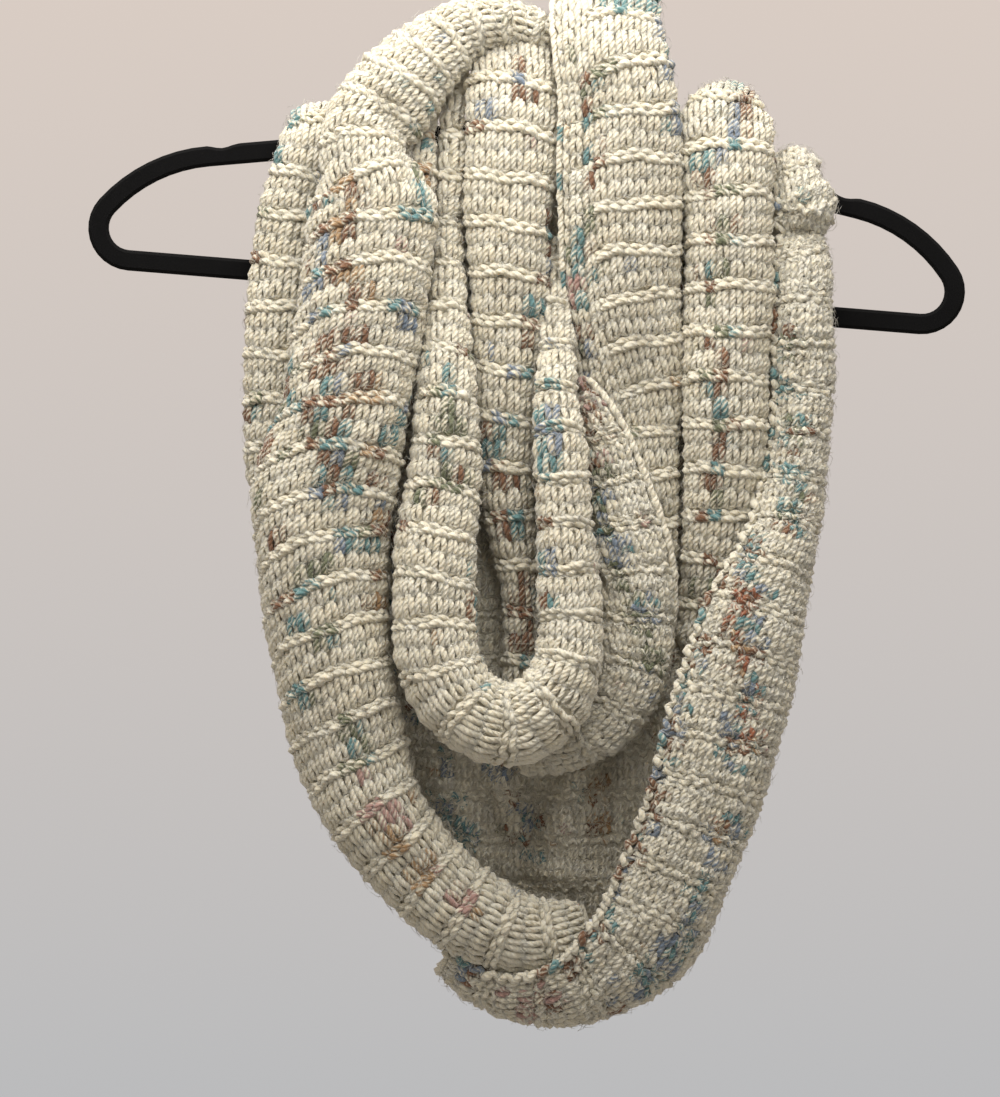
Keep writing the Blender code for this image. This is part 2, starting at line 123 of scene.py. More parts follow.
INNER_LOOP = [
    (-38.0, 50.0, 7.0, 6.5, 6.0, -110, 110),
    (-39.5, 66.0, 10.0, 6.5, 7.0, -115, 115),
    (-41.0, 85.0, 14.0, 6.5, 8.0, -120, 120),
    (-41.5, 105.0, 17.0, 7.0, 9.5, -120, 120),
    (-43.0, 129.0, 20.0, 7.5, 10.5, -120, 120),
    (-43.5, 170.0, 29.0, 10.0, 12.5, -130, 130),
    (-44.5, 221.5, 43.0, 15.5, 16.0, -150, 150),
    (-46.0, 273.0, 50.0, 19.0, 18.0, -150, 150),
    (-49.0, 304.0, 54.0, 21.0, 19.0, -150, 150),
    (-50.5, 334.5, 58.0, 21.0, 19.0, -150, 150),
    (-46.0, 360.0, 60.0, 21.0, 19.0, -150, 150),
    (-34.0, 378.0, 62.0, 20.5, 19.0, -150, 150),
    (-13.5, 386.0, 63.0, 20.5, 19.0, -150, 150),
    (8.0, 374.0, 62.0, 19.5, 18.0, -150, 150),
    (19.0, 348.0, 59.0, 16.5, 16.5, -150, 150),
    (17.5, 319.0, 57.0, 15.5, 16.0, -150, 150),
    (15.0, 283.0, 55.0, 14.0, 14.0, -150, 150),
    (13.0, 247.0, 53.0, 13.0, 12.0, -145, 150),
    (12.0, 221.5, 46.0, 11.0, 10.0, -130, 145),
    (12.0, 190.0, 34.0, 10.0, 7.5, -110, 130),
    (11.5, 163.0, 25.0, 8.5, 6.0, -90, 110),
    (11.5, 140.0, 17.0, 7.0, 5.0, -90, 110),
]
CENTRE_FOLD = [
    (-12.0, 43.0, 4.0, 20.0, 9.0, -75, 75),
    (-11.5, 45.0, 11.0, 22.5, 10.5, -80, 80),
    (-11.0, 57.0, 17.0, 24.0, 12.5, -85, 90),
    (-11.0, 72.0, 21.0, 24.0, 14.0, -90, 95),
    (-11.5, 95.0, 24.0, 23.5, 16.0, -95, 95),
    (-12.0, 129.0, 25.0, 22.5, 17.0, -100, 100),
    (-12.5, 170.0, 25.0, 20.5, 16.5, -110, 110),
    (-13.5, 221.5, 25.0, 17.0, 15.0, -130, 130),
    (-13.5, 273.0, 23.0, 13.5, 13.0, -130, 130),
    (-7.0, 324.0, 23.0, 9.5, 10.0, -130, 130),
    (-6.0, 372.0, 22.0, 8.0, 8.5, -130, 130),
]
RIGHT_INNER_FOLD = [
    (51.0, 84.0, -16.0, 16.0, 8.0, -75, 75),
    (50.0, 50.0, -17.0, 18.0, 10.0, -75, 75),
    (44.0, 24.0, -10.0, 23.0, 12.0, -80, 80),
    (39.0, 19.5, 10.0, 27.5, 13.0, -85, 85),
    (39.0, 40.0, 26.0, 29.0, 15.0, -85, 105),
    (42.5, 72.5, 29.0, 31.0, 17.0, -80, 110),
    (43.5, 118.5, 29.0, 31.5, 18.0, -78, 110),
    (45.0, 170.0, 26.0, 30.5, 17.0, -76, 110),
    (50.0, 221.5, 20.5, 26.0, 13.5, -76, 110),
    (53.0, 273.0, 18.0, 21.5, 12.5, -76, 110),
    (54.5, 304.0, 16.5, 18.5, 11.5, -76, 110),
    (54.0, 345.0, 14.5, 14.0, 10.0, -76, 110),
]
SECOND_LOOP = [
    (23.5, 211.0, 34.0, 4.0, 5.0, -65, 70),
    (29.5, 225.0, 34.5, 8.5, 7.5, -70, 72),
    (40.0, 257.5, 36.5, 16.0, 10.5, -75, 72),
    (49.0, 293.5, 38.0, 20.0, 12.5, -80, 75),
    (52.0, 329.5, 38.0, 19.5, 13.0, -90, 105),
    (47.5, 361.0, 37.0, 19.5, 13.0, -100, 140),
    (34.0, 386.0, 34.0, 17.5, 12.0, -110, 150),
    (13.0, 398.5, 30.0, 15.0, 11.0, -120, 150),
    (-8.0, 401.0, 27.0, 12.0, 9.0, -120, 150),
]
RIGHT_FRONT_FOLD = [
    (98.5, 122.0, -15.0, 18.0, 7.0, -75, 75),
    (98.5, 98.0, -17.0, 20.0, 9.0, -75, 75),
    (99.5, 75.0, -11.0, 18.0, 12.0, -80, 80),
    (100.5, 70.0, 5.0, 17.0, 12.5, -85, 85),
    (99.0, 75.0, 13.0, 22.0, 13.5, -90, 90),
    (98.5, 90.0, 20.0, 25.0, 15.0, -100, 100),
    (99.0, 118.5, 24.0, 23.0, 17.0, -130, 110),
    (99.0, 170.0, 25.0, 22.5, 18.0, -130, 110),
    (98.0, 221.5, 25.0, 22.0, 18.0, -130, 110),
    (96.0, 273.0, 23.0, 20.0, 15.0, -120, 100),
    (93.5, 304.0, 20.0, 18.0, 13.0, -110, 95),
    (88.5, 345.0, 16.0, 15.5, 10.0, -100, 90),
]
OUTER_RIGHT = [
    (133.0, 101.0, 0.3, 11.0, 10.0, -75, 75),
    (133.0, 103.0, 8.0, 11.5, 10.0, -80, 80),
    (135.0, 113.0, 14.0, 12.5, 11.0, -80, 95),
    (139.0, 123.5, 17.0, 15.5, 13.5, -80, 110),
    (136.0, 136.0, 16.0, 12.5, 9.5, -80, 130),
    (137.5, 152.0, 19.0, 15.0, 13.0, -80, 150),
    (138.0, 170.0, 20.0, 15.5, 14.0, -80, 150),
    (136.5, 221.5, 21.0, 15.5, 15.0, -80, 160),
    (132.5, 262.5, 25.0, 16.0, 17.0, -80, 165),
    (123.5, 301.0, 32.0, 20.0, 20.0, -72, 165),
    (110.0, 334.5, 36.0, 28.0, 21.0, -66, 165),
    (97.5, 375.5, 38.0, 31.0, 21.0, -64, 165),
    (85.0, 422.0, 38.0, 30.5, 21.0, -62, 175),
    (69.5, 461.5, 36.0, 30.5, 20.5, -60, 190),
    (49.0, 497.0, 31.0, 30.0, 22.0, -52, 195),
    (19.0, 512.0, 25.0, 29.0, 20.0, -25, 205),
    (-14.0, 510.0, 22.0, 26.0, 18.0, 0, 208),
    (-38.0, 496.0, 20.0, 23.0, 16.0, 10, 205),
]
NECK_PASS = [
    (-106.0, 79.0, -0.3, 20.5, 12.0, -75, 75),
    (-105.0, 84.0, -11.0, 21.0, 12.0, -78, 78),
    (-100.0, 98.0, -22.0, 22.0, 11.0, -80, 80),
    (-84.0, 105.0, -28.0, 22.0, 11.0, -85, 85),
    (-50.0, 97.0, -31.0, 22.0, 11.0, -95, 95),
    (0.0, 88.0, -33.0, 22.0, 11.0, -95, 95),
    (50.0, 96.0, -38.0, 22.0, 10.0, -82, 82),
    (92.0, 113.0, -36.0, 21.0, 10.0, -80, 80),
    (118.0, 122.0, -28.0, 18.0, 10.0, -80, 80),
    (132.0, 115.0, -18.0, 15.0, 11.0, -78, 78),
    (135.0, 105.0, -9.0, 14.0, 11.0, -78, 78),
    (135.0, 103.0, -0.3, 13.5, 11.0, -75, 75),
]

# The far side of the big loop: a wide stretch seen through it. A row is a level, from its left to its right
# edge, lying "fore" of the hanger, with soft folds "fold" deep.
Level = namedtuple("Level", "drop left right fore fold")
BACK_WALL = [
    (112.0, -112.0, 124.0, 6.5, 0.5),
    (180.0, -126.0, 130.0, 6.5, 1.0),
    (240.0, -122.0, 124.0, 6.5, 1.5),
    (310.0, -112.0, 112.0, 7.0, 2.5),
    (370.0, -96.0, 94.0, 9.0, 5.5),
    (400.0, -86.0, 86.0, 11.0, 7.5),
    (430.0, -72.0, 74.0, 10.0, 7.0),
    (464.0, -44.0, 56.0, 7.0, 4.5),
    (488.0, -14.0, 36.0, 4.0, 1.5),
]
BACK_FOLD_SPACING = 54.0
BACK_FOLD_AT = -35.0       # where the first full fold stands proud

# ---------------------------------------------------------------- how each stretch is knitted
# A band is one row of stitches: its kind and its share of the pattern's repeat. The right side shows a raised
# braid of two cords and then two tiers of tall stitches; the wrong side is flatter.
Band = namedtuple("Band", "kind share")
RIGHT_SIDE = [Band("braid", 0.27), Band("tall", 0.365), Band("tall", 0.365)]
WRONG_SIDE = [Band("bumps", 0.20)] * 2 + [Band("short", 0.20)] * 3

# A lay is the share of the stretch's length that it holds at, how the rows of stitches slope across the strip
# and how they curve there, and how far apart the braids are.
# datum: which edge of the strip the columns of stitches follow. first: from the stretch's start to its first
# braid. plain: how many columns at that edge have no braid. hook: how far the rows turn down at that edge.
# rough: how uneven the stitches are. ridge: how proud its braids stand, as a share of the braid's height.
Lay = namedtuple("Lay", "share slant bow repeat")
Knit = namedtuple("Knit", "rows datum side first lay plain hook rough ridge", defaults=(0, 0.0, 1.0, 0.45))
LEVEL_LAY = [Lay(0.0, 0.0, 0.0, 23.1), Lay(1.0, 0.0, 0.0, 23.1)]
BOWED_LAY = [Lay(0.0, 0.0, 0.001, 23.1), Lay(1.0, 0.0, 0.001, 23.1)]
KNITS = {
    "outer_left": Knit(OUTER_LEFT, "centre", RIGHT_SIDE, 6.0, [
        Lay(0.00, 0.0, 0.0, 15.5), Lay(0.14, 0.0, 0.0, 16.5), Lay(0.22, 0.10, 0.003, 20.0),
        Lay(0.30, 0.25, 0.006, 23.0), Lay(0.55, 0.27, 0.006, 23.2), Lay(0.72, 0.15, 0.002, 23.2),
        Lay(1.00, 0.0, 0.0, 23.2)], 0, 0.0, 1.2, 0.35),
    "left_shoulder": Knit(LEFT_SHOULDER, "centre", RIGHT_SIDE, 14.0, BOWED_LAY),
    "left_tuck": Knit(LEFT_TUCK, "centre", RIGHT_SIDE, 10.0, [
        Lay(0.0, 0.1, 0.0, 20.0), Lay(1.0, 0.1, 0.0, 20.0)]),
    "inner_loop": Knit(INNER_LOOP, "centre", RIGHT_SIDE, 15.0, [
        Lay(0.0, 0.0, 0.0, 23.1), Lay(0.3, -0.10, 0.001, 23.1), Lay(1.0, 0.0, 0.0, 23.1)], 0, 0.0, 1.3, 0.1),
    "centre_fold": Knit(CENTRE_FOLD, "centre", RIGHT_SIDE, 27.0, [
        Lay(0.0, -0.12, 0.002, 24.0), Lay(1.0, -0.1, 0.001, 25.0)]),
    "right_inner_fold": Knit(RIGHT_INNER_FOLD, "left", RIGHT_SIDE, 8.0, [
        Lay(0.0, -0.04, 0.0, 23.1), Lay(1.0, -0.04, 0.0, 23.1)], 3, 11.0),
    "second_loop": Knit(SECOND_LOOP, "right", WRONG_SIDE, 8.0, LEVEL_LAY, 0, 0.0, 1.3),
    "right_front_fold": Knit(RIGHT_FRONT_FOLD, "centre", RIGHT_SIDE, 6.0, BOWED_LAY),
    "outer_right": Knit(OUTER_RIGHT, "left", WRONG_SIDE, 8.0, LEVEL_LAY, 0, 3.0, 1.5),
    "neck_pass": Knit(NECK_PASS, "centre", RIGHT_SIDE, 12.0, LEVEL_LAY),
    "back_wall": Knit(BACK_WALL, "left", WRONG_SIDE, 10.0, LEVEL_LAY),
}

# The solids that a stretch takes the place of, where they are more than one.
SOLIDS = {"outer_left": ("outer_left", "outer_left_top", "outer_left_bend", "outer_left_foot")}

# The strip's cut where each stretch shows: its width laid flat, its length, and what it rests on.
Cut = namedtuple("Cut", "width length held rests_on")
CUTS = {
    "outer_left": Cut(0.100, 0.62, "hung", ["hanger_hook", "outer_right_cloth"]),
    "left_shoulder": Cut(0.055, 0.225, "hung", ["hanger_frame"]),
    "left_tuck": Cut(0.020, 0.075, "gathered", ["hanger_frame"]),
    "inner_loop": Cut(0.052, 0.66, "hung", ["hanger_frame"]),
    "centre_fold": Cut(0.048, 0.34, "hung", ["hanger_frame"]),
    "right_inner_fold": Cut(0.056, 0.43, "hung", ["hanger_frame"]),
    "second_loop": Cut(0.038, 0.235, "hung", ["hanger_frame"]),
    "right_front_fold": Cut(0.055, 0.37, "hung", ["hanger_frame"]),
    "outer_right": Cut(0.078, 0.54, "hung", ["hanger_frame"]),
    "neck_pass": Cut(0.042, 0.31, "hung", ["hanger_frame"]),
    "back_wall": Cut(0.210, 0.38, "hung", ["outer_left_cloth", "outer_right_cloth"]),
}

# The cords that finish the strip's edges, where an edge shows: which edge, how far its cord swings from side
# to side, how thick it is against the yarn, and the colours and share of its dyed lengths.
Edge = namedtuple("Edge", "stretch side swing stout colours share")
EDGES = [
    Edge("outer_right", "left", 1.6, 1.0, ("teal", "blue", "brown"), 0.3),
    Edge("second_loop", "right", 0.3, 1.15, ("teal",), 0.06),
    Edge("right_inner_fold", "left", 0.25, 1.0, ("teal", "brown"), 0.12),
]
BIG_LOOP = ("outer_left", "outer_right", "neck_pass")
INNER_LOOPS = ("inner_loop", "second_loop")
FRONT_FOLDS = ("centre_fold", "right_inner_fold", "right_front_fold", "left_shoulder", "left_tuck")

# The largest creases, each a trough where the cloth is pressed in, or a ridge where its depth is below zero.
# heading is the slope of its line, down to the right, in degrees.
Crease = namedtuple("Crease", "stretch across drop heading length width depth")
CREASES = [
    Crease("outer_left", -70.0, 84.0, 55.0, 60.0, 7.0, 6.0),
    Crease("outer_left", -60.0, 108.0, 60.0, 40.0, 6.0, 4.0),
    Crease("outer_left", -112.0, 190.0, 62.0, 120.0, 9.0, 3.0),
    Crease("outer_left", -96.0, 300.0, 82.0, 130.0, 10.0, 3.0),
    Crease("outer_left", -118.0, 400.0, 60.0, 90.0, 8.0, 3.5),
    Crease("outer_left", -52.0, 462.0, 25.0, 80.0, 7.0, 3.0),
    Crease("outer_right", 136.0, 137.0, -15.0, 40.0, 4.0, 4.0),
    Crease("outer_right", 110.0, 330.0, 100.0, 110.0, 8.0, 3.0),
    Crease("outer_right", 92.0, 420.0, 108.0, 120.0, 8.0, 3.0),
    Crease("outer_right", 40.0, 505.0, 150.0, 70.0, 7.0, 3.0),
    Crease("inner_loop", -40.0, 300.0, 88.0, 110.0, 7.0, 2.5),
    Crease("inner_loop", -6.0, 388.0, 10.0, 60.0, 6.0, 2.0),
    Crease("centre_fold", -22.0, 120.0, 85.0, 90.0, 6.0, 2.0),
    Crease("right_inner_fold", 28.0, 110.0, 88.0, 170.0, 6.0, 3.0),
    Crease("right_inner_fold", 58.0, 230.0, 88.0, 130.0, 8.0, 2.5),
    Crease("right_front_fold", 88.0, 150.0, 92.0, 120.0, 6.0, 2.5),
    Crease("right_front_fold", 94.0, 88.0, -35.0, 40.0, 6.0, 3.0),
    Crease("second_loop", 44.0, 330.0, 75.0, 90.0, 6.0, 2.0),
    Crease("back_wall", -30.0, 425.0, 60.0, 110.0, 8.0, 6.0),
    Crease("back_wall", -14.0, 420.0, 72.0, 100.0, 8.0, -8.0),
    Crease("back_wall", 2.0, 435.0, 95.0, 110.0, 9.0, 6.0),
    Crease("back_wall", 18.0, 425.0, 112.0, 90.0, 7.0, -8.0),
    Crease("back_wall", 32.0, 415.0, 125.0, 100.0, 8.0, 5.0),
    Crease("back_wall", 4.0, 462.0, 10.0, 80.0, 6.0, -5.0),
    Crease("left_shoulder", -112.0, 140.0, 95.0, 120.0, 7.0, 2.5),
]

# ---------------------------------------------------------------- the runs of colour in the yarn
# Short dyed lengths in the yarn fall near one another in row after row, and make broken columns. A run is the
# line that one column follows, by (across, drop), with its colours, its reach to each side, and the share of
# its stitches that are dyed.
Run = namedtuple("Run", "stretch colours reach share line")
RUNS = [
    Run("left_shoulder", ("teal", "sage", "brown"), 6.0, 0.75, [
        (-126, 75), (-136, 120), (-141, 180), (-141, 230), (-133, 290)]),
    Run("outer_left", ("teal", "brown", "sage"), 5.5, 0.75, [
        (-122, 140), (-128, 200), (-112, 240), (-100, 262)]),
    Run("outer_left", ("teal", "brown", "sage"), 6.5, 0.9, [
        (-116, 215), (-106, 226), (-104, 245), (-88, 270), (-84, 290)]),
    Run("outer_left", ("teal", "blue"), 5.0, 0.85, [(-68, 165), (-66, 225), (-74, 262), (-82, 280)]),
    Run("outer_left", ("brown", "tan"), 5.0, 0.75, [
        (-90, 110), (-92, 160), (-84, 230), (-80, 290), (-78, 320)]),
    Run("outer_left", ("teal", "sage"), 5.0, 0.7, [
        (-112, 310), (-114, 330), (-106, 352), (-96, 380), (-88, 402)]),
    Run("outer_left", ("teal", "sage", "brown"), 6.0, 0.85, [(-62, 75), (-58, 92), (-55, 108), (-57, 130)]),
    Run("outer_left", ("pink", "tan"), 5.0, 0.75, [(-84, 415), (-70, 440), (-52, 462), (-30, 478)]),
    Run("left_tuck", ("teal", "tan"), 8.0, 0.85, [(-52, 85), (-55, 105), (-58, 130)]),
    Run("centre_fold", ("brown", "blue"), 6.0, 0.8, [(-20, 58), (-4, 45), (-10, 70), (-28, 80)]),
    Run("centre_fold", ("teal", "brown", "blue"), 5.0, 0.85, [
        (6, 125), (6, 165), (1, 190), (-8, 198), (-18, 228), (-24, 252)]),
    Run("centre_fold", ("brown", "teal"), 5.0, 0.65, [(-10, 270), (-6, 310), (-4, 350)]),
    Run("inner_loop", ("teal", "brown", "sage"), 6.0, 0.85, [
        (-40, 205), (-43, 232), (-50, 250), (-44, 262), (-60, 285)]),
    Run("inner_loop", ("brown", "teal"), 5.0, 0.85, [(-32, 320), (-28, 350), (-26, 366)]),
    Run("inner_loop", ("brown", "blue", "teal"), 5.5, 0.85, [
        (8, 215), (10, 245), (5, 268), (4, 294), (6, 318)]),
    Run("right_inner_fold", ("teal", "brown", "sage"), 5.5, 0.95, [
        (48, 5), (44, 25), (34, 45), (32, 62), (30, 90), (26, 130), (24, 160), (22, 190)]),
    Run("right_inner_fold", ("teal", "blue"), 4.5, 0.85, [(62, 12), (66, 40), (70, 60), (71, 82)]),
    Run("right_inner_fold", ("brown", "pink", "blue"), 5.0, 0.95, [(20, 165), (23, 190), (26, 205)]),
    Run("right_front_fold", ("teal", "brown", "blue"), 7.0, 0.9, [
        (100, 62), (104, 78), (110, 92), (96, 96), (90, 104)]),
    Run("right_front_fold", ("brown", "teal", "sage"), 5.0, 0.95, [
        (92, 104), (94, 135), (92, 160), (94, 200), (92, 240), (91, 285), (88, 330)]),
    Run("second_loop", ("brown", "pink"), 5.0, 0.95, [(24, 205), (22, 230), (24, 255)]),
    Run("second_loop", ("teal", "blue", "sage"), 5.0, 0.95, [
        (28, 255), (36, 290), (48, 315), (56, 345), (60, 370)]),
    Run("outer_right", ("brown", "rust", "tan"), 5.0, 0.95, [
        (108, 300), (102, 325), (106, 355), (106, 385), (98, 425), (93, 455)]),
    Run("outer_right", ("teal", "blue"), 5.5, 0.85, [
        (104, 295), (112, 320), (96, 440), (86, 465), (70, 500), (52, 522)]),
    Run("outer_right", ("blue", "teal", "brown"), 5.0, 0.9, [
        (86, 345), (72, 378), (66, 405), (54, 440), (44, 462), (30, 486), (18, 505)]),
    Run("outer_right", ("sage", "teal", "brown"), 5.5, 0.65, [
        (128, 180), (130, 215), (134, 250), (130, 285)]),
    Run("outer_right", ("brown", "blue", "pink"), 7.0, 0.75, [(-40, 500), (-20, 520), (6, 530), (40, 534)]),
    Run("back_wall", ("teal", "brown", "blue"), 6.0, 0.75, [(-20, 400), (-8, 430), (2, 450)]),
    Run("back_wall", ("brown", "tan", "teal"), 6.0, 0.75, [(10, 395), (30, 420), (38, 440)]),
    Run("back_wall", ("teal", "blue"), 5.0, 0.65, [(-40, 395), (-44, 425), (-36, 445)]),
    Run("back_wall", ("teal", "blue", "brown"), 5.0, 0.65, [(-70, 130), (-74, 250), (-60, 380)]),
    Run("back_wall", ("brown", "sage"), 5.0, 0.65, [(70, 130), (72, 250), (58, 380)]),
    Run("neck_pass", ("teal", "brown", "blue"), 6.0, 0.75, [(-110, 95), (0, 80), (130, 118)]),
    Run("outer_left", ("teal", "sage", "brown"), 5.0, 0.8, [
        (-134, 200), (-132, 260), (-126, 320), (-118, 370)]),
    Run("outer_left", ("brown", "teal", "blue"), 5.0, 0.8, [
        (-104, 130), (-106, 180), (-100, 230), (-98, 300)]),
]
ROW_SHARES = {"braid": 1.15, "tall": 0.8}      # how readily each kind of row takes the dye, where it isn't 1
STRAY_SHARE = 0.018        # of the other stitches, dyed here and there


# ---------------------------------------------------------------- curves and sections
def smooth_rows(rows, count):
    """The table's rows, read at count even steps along a smooth curve through them."""
    rows = np.array(rows, float)
    steps = np.linalg.norm(np.diff(rows[:, :3], axis=0), axis=1)
    along = np.concatenate([[0.0], np.cumsum(steps)])
    slopes = np.gradient(rows, along, axis=0)
    at = np.linspace(0.0, along[-1], count)
    k = np.clip(np.searchsorted(along, at, side="right") - 1, 0, len(rows) - 2)
    span = (along[k + 1] - along[k])[:, None]
    t = (at - along[k])[:, None] / span
    return (
        (2 * t**3 - 3 * t**2 + 1) * rows[k]
        + (t**3 - 2 * t**2 + t) * span * slopes[k]
        + (3 * t**2 - 2 * t**3) * rows[k + 1]
        + (t**3 - t**2) * span * slopes[k + 1]
    )


def world(across, drop, fore):
    return np.stack([across, -np.asarray(fore), -np.asarray(drop)], axis=-1) * MM


def unit(rows):
    return rows / np.linalg.norm(rows, axis=-1, keepdims=True)


def front_frames(middles):
    """The way out of the face and the way across at each middle, facing the front, with no twist."""
    ways = unit(np.gradient(middles, axis=0))
    start = int(np.argmin(np.abs(ways[:, 1])))
    outs = np.zeros_like(ways)
    for order in (range(start, len(ways)), range(start, -1, -1)):
        out = np.array([0.0, -1.0, 0.0])
        for i in order:
            out = unit(out - (out @ ways[i]) * ways[i])
            outs[i] = out
    return outs, np.cross(outs, ways)


def neck_frames(middles):
    """The same for the pass behind the neck, which faces up where it crosses the arms, and then back."""
    ways = unit(np.gradient(middles, axis=0))
    behind = middles[:, 1] / MM
    away = np.stack([0 * behind, behind, np.clip(12.0 - behind, 0.0, None)], axis=-1)
    outs = unit(away - np.sum(away * ways, axis=1, keepdims=True) * ways)
    return outs, np.cross(outs, ways)


# ---------------------------------------------------------------- what a user may change
def colour_value(name, description, default):
    return FloatVectorProperty(name=name, description=description, subtype="COLOR", size=3, default=default)


class ScarfSizes(bpy.types.PropertyGroup):
    """The sizes of the knitting."""

    stitch_wide: FloatProperty(
        name="Stitch width", description="Across one stitch", default=0.0067, unit="LENGTH")
    yarn_thick: FloatProperty(
        name="Yarn thickness", description="Across the yarn", default=0.0036, unit="LENGTH")
    braid_proud: FloatProperty(
        name="Braid height", description="How far a braid stands proud", default=0.0014, unit="LENGTH")
    backing_thick: FloatProperty(
        name="Backing thickness", description="Of the cloth under the yarn", default=0.0012, unit="LENGTH")
    halo_fibres: IntProperty(
        name="Halo fibres", description="Loose fibres in a square metre of cloth", default=50000)


class ScarfColours(bpy.types.PropertyGroup):
    """The yarn's cream, the colours of its dyed lengths, and the darker cream of the cloth between the yarns,
    which is painted shade.
    """

    cream: colour_value("Cream", "The undyed yarn", (0.74, 0.71, 0.61))
    # a darker cream than the yarn's: painted shade for the cloth seen between the yarns
    hollow_painted_shade: colour_value("Hollow", "The cloth between the yarns", (0.64, 0.60, 0.49))
    teal: colour_value("Teal", "A dyed length", (0.12, 0.24, 0.25))
    sage: colour_value("Sage", "A dyed length", (0.15, 0.165, 0.10))
    blue: colour_value("Powder blue", "A dyed length", (0.19, 0.235, 0.30))
    brown: colour_value("Brown", "A dyed length", (0.19, 0.095, 0.05))
    rust: colour_value("Rust", "A dyed length", (0.3, 0.11, 0.055))
    tan: colour_value("Tan", "A dyed length", (0.36, 0.23, 0.12))
    pink: colour_value("Dusty pink", "A dyed length", (0.4, 0.25, 0.22))


class HangerFinish(bpy.types.PropertyGroup):
    """The hanger's flocking and its hook."""

    flock: colour_value("Flocking", "The hanger's colour", (0.0015, 0.0015, 0.0018))
    steel: colour_value("Hook", "The hook's colour", (0.62, 0.62, 0.64))


class StudioSettings(bpy.types.PropertyGroup):
    """The light and the camera."""

    key_power: FloatProperty(
        name="Key light", description="The large soft light, above", default=12.0, subtype="POWER")
    fill_power: FloatProperty(
        name="Fill light", description="The weak light from the right", default=0.9, subtype="POWER")
    room_light: FloatProperty(name="Room light", description="The even light of the room", default=1.0)
    camera_away: FloatProperty(
        name="Camera distance", description="From the hanger to the camera", default=2.3, unit="LENGTH")


# ---------------------------------------------------------------- the surface of a stretch
STEP = 1.5                 # between the points of the surface, each way
AROUND = 121               # points round a section, by which its distance across is measured
WAVER = 0.75               # how far the cloth is uneven all over


